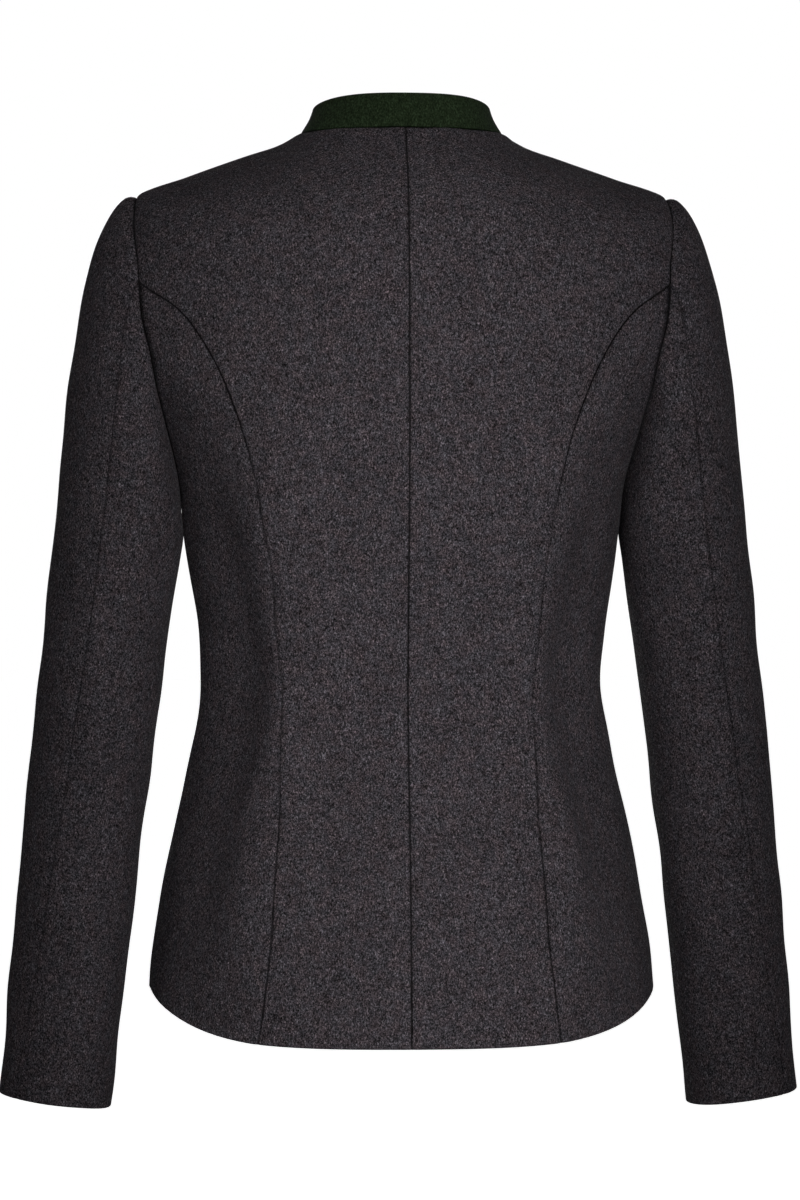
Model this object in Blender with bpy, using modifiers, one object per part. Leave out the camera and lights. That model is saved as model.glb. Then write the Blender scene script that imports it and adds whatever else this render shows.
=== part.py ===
"""A fitted women's loden jacket with a stand collar, worn and hollow.

Every cut piece is a thin wall of cloth wrapped onto one worn form. The form is a
stack of rings from the hem up to the neckline; the sleeves are rings that fan out
from the armhole. Neighbouring pieces share the marks of their seam.

Frame: the wearer faces -Y, +X is the wearer's left, +Z is up. The origin is the
middle of the neck opening, level with the side neck points.
"""

import functools
import math
from collections import namedtuple

import bmesh
import bpy
from mathutils import Matrix, Vector

# ---------------------------------------------------------------- driving sizes
CLOTH = 0.0022  # milled wool, through its thickness
FELT = 0.0022  # collar felt
SEAM_GAP = 0.0003  # between neighbouring pieces
SLEEVE_STAND_OFF = 0.0005  # the sleeve's edge stands this far out of the armhole
LAP = 0.020  # each front runs on past the centre line
LAP_CLEAR = 0.003  # the upper front stays raised this far behind the lower one's edge
LAP_RISE = 0.030  # length over which the upper front lifts onto the lower one
LAP_GAP = 0.0006  # between the upper front and the lower one

# Rings of the body from the hem up. side_x is half the width, side_z the height at
# the side; back_y, back_z and front_y, front_z are the middle of the back and front.
# A fullness of 2 is an ellipse, and more is squarer. The corner is how much further out
# the back is pushed where its flat middle turns to its side.
Ring = namedtuple(
    "Ring",
    "side_x side_z back_y back_z front_y front_z back_fullness front_fullness corner",
)
BODY_RINGS = (
    Ring(0.1775, -0.600, 0.1310, -0.6315, -0.122, -0.637, 2.15, 2.25, 0.010),  # hem
    Ring(0.1735, -0.563, 0.1290, -0.5830, -0.120, -0.586, 2.00, 2.25, 0.070),
    Ring(0.1670, -0.523, 0.1210, -0.5330, -0.115, -0.535, 1.87, 2.25, 0.125),
    Ring(0.1578, -0.478, 0.1070, -0.4820, -0.108, -0.483, 1.80, 2.25, 0.155),  # hip
    Ring(0.1472, -0.432, 0.0925, -0.4330, -0.101, -0.434, 1.80, 2.25, 0.165),
    Ring(0.1410, -0.390, 0.0850, -0.3900, -0.098, -0.390, 1.80, 2.25, 0.170),  # waist
    Ring(0.1427, -0.352, 0.0880, -0.3520, -0.105, -0.351, 1.80, 2.25, 0.170),
    Ring(0.1481, -0.314, 0.0950, -0.3160, -0.118, -0.313, 1.85, 2.25, 0.160),
    Ring(0.1533, -0.277, 0.1010, -0.2820, -0.130, -0.277, 2.00, 2.30, 0.125),
    Ring(0.1588, -0.240, 0.1050, -0.2490, -0.136, -0.242, 2.15, 2.35, 0.080),  # underarm
    Ring(0.1735, -0.198, 0.1068, -0.2170, -0.134, -0.214, 2.25, 2.15, 0.030),
    Ring(0.1935, -0.154, 0.1070, -0.1870, -0.128, -0.190, 2.20, 2.00, 0.0),
    Ring(0.2080, -0.110, 0.1065, -0.1570, -0.119, -0.166, 2.15, 1.95, 0.0),
    Ring(0.2020, -0.072, 0.1050, -0.1250, -0.109, -0.144, 2.20, 2.00, 0.0),
    Ring(0.1865, -0.045, 0.1020, -0.0900, -0.100, -0.124, 2.40, 2.25, 0.0),  # shoulder tip
    Ring(0.1500, -0.031, 0.0960, -0.0570, -0.091, -0.106, 2.40, 2.35, 0.0),
    Ring(0.1110, -0.0175, 0.0810, -0.0310, -0.081, -0.089, 2.30, 2.30, 0.0),
    Ring(0.0865, -0.0095, 0.0655, -0.0140, -0.071, -0.076, 2.20, 2.20, 0.0),
    Ring(0.0710, 0.0000, 0.0550, -0.0004, -0.063, -0.068, 2.10, 2.10, 0.0),  # neckline
)
HEM = 0
TIP = 14
NECKLINE = len(BODY_RINGS) - 1
CORNER_TURN = 46.5
CORNER_SPREAD = 13.5

# The princess seams from the hem up to the armhole.
SeamPoint = namedtuple("SeamPoint", "height half_width")
BACK_PRINCESS = (
    SeamPoint(-0.565, 0.0950),
    SeamPoint(-0.485, 0.0890),
    SeamPoint(-0.425, 0.0875),
    SeamPoint(-0.362, 0.0897),
    SeamPoint(-0.307, 0.0945),
    SeamPoint(-0.252, 0.1038),
    SeamPoint(-0.198, 0.1185),
    SeamPoint(-0.156, 0.1375),
    SeamPoint(-0.128, 0.1580),
)
BACK_PRINCESS_HEM = 0.1035
FRONT_PRINCESS = (
    SeamPoint(-0.565, 0.1010),
    SeamPoint(-0.485, 0.0900),
    SeamPoint(-0.400, 0.0810),
    SeamPoint(-0.320, 0.0850),
    SeamPoint(-0.250, 0.0950),
    SeamPoint(-0.195, 0.1090),
    SeamPoint(-0.155, 0.1290),
    SeamPoint(-0.132, 0.1520),
)
FRONT_PRINCESS_HEM = 0.1120

# The armhole, an egg shape seen from the side. Angles run from the shoulder tip
# round by the back: the underarm is at 180 degrees.
UNDERARM_Z = -0.264
ARMHOLE_BACK = 0.0565
ARMHOLE_FRONT = 0.055
ARMHOLE_LEAN = 0.15  # how much fuller its front is in its lower half
ARMHOLE_TAPER = 0.60  # how much shallower its back is at its foot
BACK_NOTCH = 65.0  # the back princess seam and the hindarm seam end here
FOREARM_NOTCH = 257.0
FRONT_NOTCH = 289.0

# Rings of the sleeve from the armhole to the cuff: where the ring lies under the
# arm, where it lies on the outside, its middle from front to back and half its depth.
SleeveRing = namedtuple("SleeveRing", "under_x under_z outer_x outer_z middle_y half_depth")
SLEEVE_RINGS = (
    SleeveRing(0.1552, UNDERARM_Z, 0.1865, -0.0450, 0.001, 0.0570),
    SleeveRing(0.1552, -0.2655, 0.1945, -0.0465, 0.001, 0.0575),
    SleeveRing(0.1551, -0.2680, 0.2045, -0.0575, 0.001, 0.0585),
    SleeveRing(0.1546, -0.2715, 0.2140, -0.0765, 0.001, 0.0595),
    SleeveRing(0.1540, -0.2755, 0.2215, -0.1030, 0.001, 0.0600),
    SleeveRing(0.1535, -0.2810, 0.2285, -0.1370, 0.001, 0.0600),
    SleeveRing(0.1541, -0.2880, 0.2340, -0.1780, 0.001, 0.0595),
    SleeveRing(0.1561, -0.3000, 0.2395, -0.2290, 0.000, 0.0585),
    SleeveRing(0.1610, -0.3300, 0.2467, -0.3040, -0.002, 0.0565),
    SleeveRing(0.1692, -0.3920, 0.2547, -0.3770, -0.005, 0.0535),
    SleeveRing(0.1788, -0.4640, 0.2625, -0.4500, -0.010, 0.0505),
    SleeveRing(0.1878, -0.5380, 0.2698, -0.5250, -0.015, 0.0475),
    SleeveRing(0.1966, -0.6140, 0.2768, -0.6020, -0.020, 0.0450),
    SleeveRing(0.2051, -0.6866, 0.2836, -0.6760, -0.025, 0.0425),
)
CUFF = len(SLEEVE_RINGS) - 1
ARMHOLE_REACH = 5  # sleeve rings over which the armhole's own curve fades out

# Where the two long sleeve seams run, as angles round the sleeve.
SleeveSeam = namedtuple("SleeveSeam", "ring hindarm forearm")
SLEEVE_SEAMS = (
    SleeveSeam(0, BACK_NOTCH, FOREARM_NOTCH),
    SleeveSeam(4, 74.0, 249.0),
    SleeveSeam(7, 77.0, 247.0),
    SleeveSeam(9, 74.0, 244.0),
    SleeveSeam(11, 64.0, 236.0),
    SleeveSeam(13, 46.0, 224.0),
)

# The collar's edges: the seam is the neckline, and these are its middle and top.
COLLAR_RINGS = (
    BODY_RINGS[NECKLINE],
    Ring(0.0652, 0.0095, 0.0530, 0.0120, -0.0610, -0.0560, 2.10, 2.10, 0.0),
    Ring(0.0620, 0.0185, 0.0500, 0.0242, -0.0590, -0.0440, 2.10, 2.10, 0.0),
)
COLLAR_END_GAP = 0.0015  # from the centre line to each end of the collar

# How finely the cloth is divided.
HEM_TO_UNDERARM = 12
UNDERARM_TO_BACK_NOTCH = 7
BACK_NOTCH_TO_TIP = 4
UNDERARM_TO_FOREARM = 5
FOREARM_TO_FRONT_NOTCH = 2
FRONT_NOTCH_TO_TIP = 5
SHOULDER_STEPS = 5
BACK_NECK_STEPS = 3
FRONT_NECK_STEPS = 3
SIDE_STEPS = 5
SLEEVE_ROWS = 14
SLEEVE_ROW_EASE = 0.95  # below 1, the rows start wider at the armhole
BEND_FADE = 4  # how fast an edge's bend fades into its panel
PATH_SAMPLES = 96  # how finely a seam is measured
HALVINGS = 36  # of the search for a place on the form

BUTTON_COUNT = 5
BUTTON_RADIUS = 0.0090
BUTTON_THICKNESS = 0.0036
BUTTON_TOP_Z = -0.100
BUTTON_SPACING = 0.085
BUTTON_SHANK = 0.001  # each stands off the cloth by its thread

Paint = namedtuple("Paint", "name colour roughness metallic")
LODEN = Paint("charcoal_loden", (0.041, 0.036, 0.040), 0.95, 0.0)
GREEN_FELT = Paint("green_felt", (0.011, 0.016, 0.009), 0.95, 0.0)
HORN = Paint("dark_horn", (0.045, 0.028, 0.018), 0.40, 0.0)

# A mark is a place on the cloth: its turn and level on the form, its point in space
# and the direction out of the cloth there.
Mark = namedtuple("Mark", "turn level place out")
Stop = namedtuple("Stop", "turn level")


# ------------------------------------------------------------------- the worn form
def eased(share):
    """A step from 0 to 1 that starts and ends level."""
    share = min(1.0, max(0.0, share))
    return share * share * (3.0 - 2.0 * share)


def row_between(rows, level):
    """The table row at a fractional level, on a smooth curve through the rows."""
    last = len(rows) - 1
    below = min(last - 1, max(0, math.floor(level)))
    t = level - below
    before = rows[max(0, below - 1)]
    start = rows[below]
    end = rows[below + 1]
    after = rows[min(last, below + 2)]
    values = []
    for a, b, c, d in zip(before, start, end, after):
        rise_in = (c - a) / 2.0
        rise_out = (d - b) / 2.0
        curve = b + t * (rise_in + t * (3.0 * (c - b) - 2.0 * rise_in - rise_out
                                        + t * (rise_in + rise_out - 2.0 * (c - b))))
        values.append(curve)
    return type(start)(*values)


def on_ring(ring, turn):
    """A point of a ring; turn runs from 0 at the back by 90 at the side to 180 in front."""
    angle = math.radians(turn)
    across = math.sin(angle)
    along = math.cos(angle)
    corner = 0.0
    if along >= 0.0:
        depth, middle_z, fullness = ring.back_y, ring.back_z, ring.back_fullness
        from_corner = (abs(turn) - CORNER_TURN) / CORNER_SPREAD
        corner = ring.corner * math.exp(-from_corner ** 2) * abs(math.sin(2.0 * angle))
    else:
        depth, middle_z, fullness = -ring.front_y, ring.front_z, ring.front_fullness
    reach = (abs(across / ring.side_x) ** fullness + abs(along / depth) ** fullness) ** (-1.0 / fullness)
    reach *= 1.0 + corner
    x = reach * across
    y = reach * along
    z = ring.side_z + (middle_z - ring.side_z) * eased(abs(y) / depth)
    return Vector((x, y, z))


def body_point(turn, level):
    return on_ring(row_between(BODY_RINGS, level), turn)


def collar_point(turn, level):
    return on_ring(row_between(COLLAR_RINGS, level), turn)


def marked(point_at, turn, level, top_level):
    """The mark at a turn and level, its direction out taken from the form around it."""
    step_turn = 0.4
    step_level = 0.02
    low = max(0.0, level - step_level)
    high = min(float(top_level), level + step_level)
    round_form = point_at(turn + step_turn, level) - point_at(turn - step_turn, level)
    up_form = point_at(turn, high) - point_at(turn, low)
    return Mark(turn, level, point_at(turn, level), up_form.cross(round_form).normalized())


def body_mark(turn, level):
    return marked(body_point, turn, level, NECKLINE)


def collar_mark(turn, level):
    return marked(collar_point, turn, level, len(COLLAR_RINGS) - 1)


def halved(low, high, is_low):
    """The value between two limits where is_low stops being true."""
    for _ in range(HALVINGS):
        middle = (low + high) / 2.0
        if is_low(middle):
            low = middle
        else:
            high = middle
    return (low + high) / 2.0


def level_at(turn, height):
    return halved(0.0, float(NECKLINE), lambda level: body_point(turn, level).z < height)


def back_place(height, half_width):
    turn = halved(0.0, 90.0, lambda t: body_point(t, level_at(t, height)).x < half_width)
    return turn, level_at(turn, height)


def front_place(height, half_width):
    turn = halved(90.0, 180.0, lambda t: body_point(t, level_at(t, height)).x > half_width)
    return turn, level_at(turn, height)


def side_place(height, depth):
    """Where the form is at a height and a distance behind (or, below 0, before) the side."""
    turn = halved(20.0, 160.0, lambda t: body_point(t, level_at(t, height)).y > depth)
    return turn, level_at(turn, height)


# ------------------------------------------------------------------------- seams
def between(first, second, share):
    """A mark on the straight line from one mark to the next."""
    return Mark(
        first.turn + (second.turn - first.turn) * share,
        first.level + (second.level - first.level) * share,
        first.place.lerp(second.place, share),
        first.out.lerp(second.out, share).normalized(),
    )


def evenly(path_at, count):
    """count + 1 marks equally spaced by length along a path given from 0 to 1."""
    lengths = [0.0]
    previous = path_at(0.0).place
    for i in range(1, PATH_SAMPLES + 1):
        place = path_at(i / PATH_SAMPLES).place
        lengths.append(lengths[-1] + (place - previous).length)
        previous = place
    marks = []
    for k in range(count + 1):
        wanted = lengths[-1] * k / count
        i = max(1, next(n for n, length in enumerate(lengths) if length >= wanted - 1e-12))
        share = (wanted - lengths[i - 1]) / (lengths[i] - lengths[i - 1])
        marks.append(path_at((i - 1 + share) / PATH_SAMPLES))
    return marks


@functools.lru_cache(maxsize=None)
def armhole_mark(angle):
    turned = math.radians(angle)
    middle_z = (BODY_RINGS[TIP].side_z + UNDERARM_Z) / 2.0
    half_height = (BODY_RINGS[TIP].side_z - UNDERARM_Z) / 2.0
    if math.sin(turned) >= 0.0:
        depth = ARMHOLE_BACK * (1.0 - ARMHOLE_TAPER * eased((0.1 - math.cos(turned)) / 1.1))
    else:
        depth = ARMHOLE_FRONT * (1.0 - ARMHOLE_LEAN * math.cos(turned))
    if abs(math.sin(turned)) < 1e-9:
        turn = 90.0
        level = float(TIP) if math.cos(turned) > 0.0 else level_at(turn, UNDERARM_Z)
    else:
        height = middle_z + half_height * math.cos(turned)
        turn, level = side_place(height, depth * math.sin(turned))
    return body_mark(turn, level)


def princess_seam(points, place_at, hem_width, end_mark, rows_low, rows_high):
    """Marks of a princess seam: rows_low up to the underarm's height, rows_high above."""
    if place_at is front_place:
        hem_turn = halved(90.0, 180.0, lambda t: body_point(t, HEM).x > hem_width)
    else:
        hem_turn = halved(0.0, 90.0, lambda t: body_point(t, HEM).x < hem_width)
    stops = [Stop(hem_turn, float(HEM))]
    stops += [Stop(*place_at(p.height, p.half_width)) for p in points]
    stops.append(Stop(end_mark.turn, end_mark.level))
    last = len(stops) - 1

    def at(share):
        stop = row_between(stops, share * last)
        return body_mark(stop.turn, max(0.0, stop.level))

    split = halved(0.0, 1.0, lambda share: at(share).place.z < UNDERARM_Z)
    low = evenly(lambda share: at(share * split), rows_low)
    high = evenly(lambda share: at(split + (1.0 - split) * share), rows_high)
    high[-1] = end_mark
    return low + high[1:]


# ------------------------------------------------------------------------ patches
def shares(marks):
    """How far along an edge each of its marks is, from 0 to 1."""
    lengths = [0.0]
    for first, second in zip(marks, marks[1:]):
        lengths.append(lengths[-1] + (second.place - first.place).length)
    return [length / lengths[-1] for length in lengths]


def filled(mark_at, bottom, top, left, right):
    """Rows of marks on the form that fill the patch inside four edges.

    A row runs evenly from its left mark to its right mark; the bends of the bottom
    and top edges fade quickly into the patch.
    """
    across = [(a + b) / 2.0 for a, b in zip(shares(bottom), shares(top))]
    upward = [(a + b) / 2.0 for a, b in zip(shares(left), shares(right))]

    def bend(edge, u, i, part):
        first, here, last = (getattr(mark, part) for mark in (edge[0], edge[i], edge[-1]))
        return here - (first + (last - first) * u)

    rows = [list(bottom)]
    for j in range(1, len(left) - 1):
        v = upward[j]
        row = [left[j]]
        for i in range(1, len(bottom) - 1):
            u = across[i]
            spot = []
            for part in ("turn", "level"):
                start, end = getattr(left[j], part), getattr(right[j], part)
                straight = start + (end - start) * u
                low_bend = bend(bottom, u, i, part) * (1.0 - v) ** BEND_FADE
                high_bend = bend(top, u, i, part) * v ** BEND_FADE
                spot.append(straight + low_bend + high_bend)
            row.append(mark_at(*spot))
        row.append(right[j])
        rows.append(row)
    rows.append(list(top))
    return rows


def drawn_in(mark, inner, beside):
    """The step of half the seam gap from an edge's mark into its panel, square to the edge."""
    along = beside.normalized()
    inward = inner.place - mark.place
    inward -= along * inward.dot(along)
    return inward.normalized() * SEAM_GAP / 2.0


def trimmed(rows):
    """The rows with each edge drawn back by half the seam gap."""
    last_row = len(rows) - 1
    last_column = len(rows[0]) - 1
    drawn = []
    for j, row in enumerate(rows):
        new_row = []
        for i, mark in enumerate(row):
            inner_j = min(max(j, 1), last_row - 1)
            inner_i = min(max(i, 1), last_column - 1)
            place = mark.place.copy()
            if inner_j != j:
                beside = row[min(i + 1, last_column)].place - row[max(i - 1, 0)].place
                place += drawn_in(mark, rows[inner_j][i], beside)
            if inner_i != i:
                beside = rows[min(j + 1, last_row)][i].place - rows[max(j - 1, 0)][i].place
                place += drawn_in(mark, row[inner_i], beside)
            new_row.append(mark._replace(place=place))
        drawn.append(new_row)
    return drawn


# ------------------------------------------------------------------------- pieces
def paint(wanted):
    """The material of a finish, made the first time it is asked for."""
    material = bpy.data.materials.get(wanted.name)
    if material is None:
        material = bpy.data.materials.new(wanted.name)
        material.use_nodes = True
        shader = material.node_tree.nodes["Principled BSDF"]
        shader.inputs["Base Color"].default_value = (*wanted.colour, 1.0)
        shader.inputs["Roughness"].default_value = wanted.roughness
        shader.inputs["Metallic"].default_value = wanted.metallic
    return material


def piece(name, mesh, finish, group):
    mesh.materials.append(paint(finish))
    made = bpy.data.objects.new(name, mesh)
    group.objects.link(made)
    return made


def cloth_piece(name, rows, thickness, finish, group, side=1):
    """A flat rectangle of cloth with its thickness, wrapped onto its rows of marks.

    side is 1 for the wearer's left and -1 for the mirrored right piece.
    """
    rows = trimmed(rows)
    across = len(rows[0]) - 1
    upward = len(rows) - 1
    cloth = bmesh.new()
    bmesh.ops.create_grid(cloth, x_segments=across, y_segments=upward, size=1.0)
    grown = bmesh.ops.extrude_face_region(cloth, geom=cloth.faces[:])
    lining_side = [v for v in grown["geom"] if isinstance(v, bmesh.types.BMVert)]
    bmesh.ops.translate(cloth, vec=(0.0, 0.0, thickness), verts=lining_side)
    bmesh.ops.recalc_face_normals(cloth, faces=cloth.faces[:])
    for vert in cloth.verts:
        i = round((vert.co.x + 1.0) / 2.0 * across)
        j = round((vert.co.y + 1.0) / 2.0 * upward)
        mark = rows[j][i]
        vert.co = mark.place - mark.out * vert.co.z
        vert.co.x *= side
    if cloth.calc_volume(signed=True) < 0.0:
        bmesh.ops.reverse_faces(cloth, faces=cloth.faces[:])
    mesh = bpy.data.meshes.new(name)
    cloth.to_mesh(mesh)
    cloth.free()
    return piece(name, mesh, finish, group)


# ------------------------------------------------------------------------- sleeve
def sleeve_oval(angle, level):
    """A point of the sleeve's own rings; angles are the armhole's."""
    ring = row_between(SLEEVE_RINGS, level)
    turned = math.radians(angle)
    outer = Vector((ring.outer_x, 0.0, ring.outer_z))
    under = Vector((ring.under_x, 0.0, ring.under_z))
    point = (outer + under) / 2.0 + (outer - under) / 2.0 * math.cos(turned)
    point.y = ring.middle_y + ring.half_depth * math.sin(turned)
    return point


def sleeve_point(angle, level):
    """A point of the sleeve, which starts on the armhole and eases onto its own rings."""
    point = sleeve_oval(angle, level)
    nearness = max(0.0, 1.0 - level / ARMHOLE_REACH) ** 2
    if nearness > 0.0:
        edge = armhole_mark(round(angle % 360.0, 6))
        own = edge.place + edge.out * SLEEVE_STAND_OFF
        point += (own - sleeve_oval(angle, 0.0)) * nearness
    return point


def sleeve_mark(angle, level):
    """A sleeve mark, with its direction out of the sleeve."""
    step_angle = 6.0
    step_level = 0.8
    low = max(0.0, level - step_level)
    high = min(float(CUFF), level + step_level)
    round_sleeve = sleeve_point(angle + step_angle, level) - sleeve_point(angle - step_angle, level)
    down_sleeve = sleeve_point(angle, high) - sleeve_point(angle, low)
    out = down_sleeve.cross(round_sleeve).normalized()
    middle = (sleeve_oval(0.0, level) + sleeve_oval(180.0, level)) / 2.0
    if out.dot(sleeve_point(angle, level) - middle) < 0.0:
        out = -out
    return Mark(angle, level, sleeve_point(angle, level), out)


def sleeve_seam_angle(level, which):
    after = next(n for n, row in enumerate(SLEEVE_SEAMS) if row.ring >= level - 1e-9)
    after = max(1, after)
    first, second = SLEEVE_SEAMS[after - 1], SLEEVE_SEAMS[after]
    share = (level - first.ring) / (second.ring - first.ring)
    return getattr(row_between(SLEEVE_SEAMS, after - 1 + share), which)


def sleeve_rows(first_angles, first_seam, last_seam, turn_back):
    """Rows of one sleeve piece from the armhole to the cuff.

    first_angles are its marks' angles on the armhole. turn_back is added to the last
    seam's angle where the piece runs through the shoulder tip.
    """
    start = first_angles[0]
    run = first_angles[-1] - start
    portions = [(angle - start) / run for angle in first_angles]
    rows = []
    for j in range(SLEEVE_ROWS + 1):
        level = CUFF * (j / SLEEVE_ROWS) ** SLEEVE_ROW_EASE
        low = sleeve_seam_angle(level, first_seam)
        high = sleeve_seam_angle(level, last_seam) + turn_back
        if j == 0:
            low, high = first_angles[0], first_angles[-1]
        rows.append([sleeve_mark(low + (high - low) * portion, level) for portion in portions])
    return rows


# ------------------------------------------------------------------------ garment
def armhole_angles():
    """The armhole's stations, as lists of angles from notch to notch."""
    def angles(first, last, count):
        return [first + (last - first) * k / count for k in range(count + 1)]

    return {
        "tip_to_back": angles(0.0, BACK_NOTCH, BACK_NOTCH_TO_TIP),
        "back_to_underarm": angles(BACK_NOTCH, 180.0, UNDERARM_TO_BACK_NOTCH),
        "underarm_to_forearm": angles(180.0, FOREARM_NOTCH, UNDERARM_TO_FOREARM),
        "forearm_to_front": angles(FOREARM_NOTCH, FRONT_NOTCH, FOREARM_TO_FRONT_NOTCH),
        "front_to_tip": angles(FRONT_NOTCH, 360.0, FRONT_NOTCH_TO_TIP),
    }


def marks_at(angles):
    return [armhole_mark(round(angle % 360.0, 6)) for angle in angles]


def level_run(turn, first_level, last_level, count):
    run = last_level - first_level
    return evenly(lambda share: body_mark(turn, first_level + run * share), count)


def hem_run(first_turn, last_turn, count):
    run = last_turn - first_turn
    return evenly(lambda share: body_mark(first_turn + run * share, HEM), count)


def lap_turn(front_y):
    """How far round from the centre line the lap's width reaches."""
    return math.degrees(math.atan(LAP / -front_y))


def neck_turns():
    """The neckline's stations from the middle of the back to the centre line in front."""
    lap = 180.0 - lap_turn(BODY_RINGS[NECKLINE].front_y)
    back = [90.0 * k / BACK_NECK_STEPS for k in range(BACK_NECK_STEPS)]
    front = [90.0 + (lap - 90.0) * k / FRONT_NECK_STEPS for k in range(FRONT_NECK_STEPS + 1)]
    return back, front, 180.0


def neck_marks(turns):
    return [body_mark(turn, float(NECKLINE)) for turn in turns]


def side_panel(princess, side_seam, armhole):
    """Rows of a side panel, which narrows to a point where its princess seam ends.

    armhole runs from the underarm to the point.
    """
    tip_share = 0.8
    blunt = between(armhole[-2], armhole[-1], tip_share)
    side = side_seam + armhole[1:-1] + [blunt]
    point = [between(armhole[-1], blunt, k / SIDE_STEPS) for k in range(SIDE_STEPS + 1)]
    hem = hem_run(princess[0].turn, side_seam[0].turn, SIDE_STEPS)
    return filled(body_mark, hem, point, princess, side)


def middle_edge(rows_low, rows_high, turn):
    """The centre line's marks from the hem up to the neckline."""
    split = level_at(turn, UNDERARM_Z)
    low = level_run(turn, float(HEM), split, rows_low)
    high = level_run(turn, split, float(NECKLINE), rows_high)
    return low + high[1:]


def lap_edge(centre, side):
    """The marks a lap's width from the centre line: past it (side 1) or before it (-1)."""
    return [body_mark(180.0 + side * lap_turn(mark.place.y), mark.level) for mark in centre]


def raised(rows):
    """The upper front's rows, lifted so that it lies on the lower front's lap."""
    lifted = []
    for row in rows:
        new_row = []
        for mark in row:
            behind = mark.place.x - LAP - LAP_CLEAR
            lift = (CLOTH + LAP_GAP) * (1.0 - eased(behind / LAP_RISE))
            new_row.append(mark._replace(place=mark.place + mark.out * lift))
        lifted.append(new_row)
    return lifted


def body_panels():
    """The rows of every left body panel."""
    stations = armhole_angles()
    to_tip = marks_at(stations["tip_to_back"])[::-1]
    back_arm = marks_at(stations["back_to_underarm"])[::-1]
    front_arm = marks_at(stations["underarm_to_forearm"])
    front_arm += marks_at(stations["forearm_to_front"])[1:]
    front_to_tip = marks_at(stations["front_to_tip"])
    rows_back = UNDERARM_TO_BACK_NOTCH
    rows_front = UNDERARM_TO_FOREARM + FOREARM_TO_FRONT_NOTCH

    side_seam = level_run(90.0, float(HEM), front_arm[0].level, HEM_TO_UNDERARM)
    side_seam[-1] = front_arm[0]
    back_seam = princess_seam(
        BACK_PRINCESS, back_place, BACK_PRINCESS_HEM, back_arm[-1], HEM_TO_UNDERARM, rows_back
    )
    front_seam = princess_seam(
        FRONT_PRINCESS, front_place, FRONT_PRINCESS_HEM, front_arm[-1], HEM_TO_UNDERARM, rows_front
    )
    shoulder = level_run(90.0, float(NECKLINE), float(TIP), SHOULDER_STEPS)
    shoulder[-1] = to_tip[-1]

    panels = {}
    back_turns, front_turns, centre_turn = neck_turns()
    top = neck_marks(back_turns) + shoulder
    hem = hem_run(0.0, back_seam[0].turn, len(top) - 1)
    centre = middle_edge(HEM_TO_UNDERARM, rows_back + BACK_NOTCH_TO_TIP, 0.0)
    panels["back"] = filled(body_mark, hem, top, centre, back_seam + to_tip[1:])
    panels["side_back"] = side_panel(back_seam, side_seam, back_arm)
    panels["side_front"] = side_panel(front_seam, side_seam, front_arm)

    centre = middle_edge(HEM_TO_UNDERARM, rows_front + FRONT_NOTCH_TO_TIP, centre_turn)
    before = lap_edge(centre, -1)
    top = neck_marks(front_turns[:0:-1]) + shoulder
    hem = hem_run(before[0].turn, front_seam[0].turn, len(top) - 1)
    front = filled(body_mark, hem, top, before, front_seam + front_to_tip[1:])
    panels["front"] = [
        [past, middle] + row for past, middle, row in zip(lap_edge(centre, 1), centre, front)
    ]
    return panels


def collar_rows():
    """The collar's rows from its seam up, right round from end to end."""
    back_turns, front_turns, centre_turn = neck_turns()
    end_turn = centre_turn - math.degrees(math.atan(COLLAR_END_GAP / -COLLAR_RINGS[0].front_y))
    half = back_turns + front_turns + [end_turn]
    turns = [-turn for turn in half[:0:-1]] + half
    return [[collar_mark(turn, float(level)) for turn in turns] for level in range(len(COLLAR_RINGS))]


def build_button(number, group):
    """A plain domed button, a turned profile, lying on the upper front."""
    height = BUTTON_TOP_Z - BUTTON_SPACING * (number - 1)
    mark = body_mark(180.0, level_at(180.0, height))
    rim = BUTTON_THICKNESS * 0.55
    profile = (
        (0.0, BUTTON_THICKNESS * 0.75),
        (BUTTON_RADIUS * 0.62, BUTTON_THICKNESS * 0.75),
        (BUTTON_RADIUS * 0.78, BUTTON_THICKNESS),
        (BUTTON_RADIUS * 0.92, BUTTON_THICKNESS),
        (BUTTON_RADIUS, rim),
        (BUTTON_RADIUS * 0.92, 0.0),
        (0.0, 0.0),
    )
    mesh = bpy.data.meshes.new(f"button_{number}")
    edges = [(n, n + 1) for n in range(len(profile) - 1)]
    mesh.from_pydata([(x, 0.0, z) for x, z in profile], edges, [])
    button = piece(f"button_{number}", mesh, HORN, group)
    turned = button.modifiers.new("turned", "SCREW")
    turned.axis = "Z"
    turned.steps = 14
    turned.render_steps = 14
    turned.use_merge_vertices = True
    turned.merge_threshold = 0.00001
    button.rotation_mode = "QUATERNION"
    button.rotation_quaternion = mark.out.to_track_quat("Z", "Y")
    button.location = mark.place + mark.out * (CLOTH + LAP_GAP + BUTTON_SHANK)
    return button


def build_sleeves(group):
    stations = armhole_angles()
    over = [angle - 360.0 for angle in stations["forearm_to_front"]]
    over += [angle - 360.0 for angle in stations["front_to_tip"][1:]]
    over += stations["tip_to_back"][1:]
    under = stations["back_to_underarm"] + stations["underarm_to_forearm"][1:]
    top_rows = sleeve_rows(over[::-1], "hindarm", "forearm", -360.0)
    under_rows = sleeve_rows(under, "hindarm", "forearm", 0.0)
    for side, word in ((1, "left"), (-1, "right")):
        cloth_piece(f"top_sleeve_{word}", top_rows, CLOTH, LODEN, group, side)
        cloth_piece(f"under_sleeve_{word}", under_rows, CLOTH, LODEN, group, side)


def clear_scene():
    for old in list(bpy.data.objects):
        bpy.data.objects.remove(old, do_unlink=True)


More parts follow.
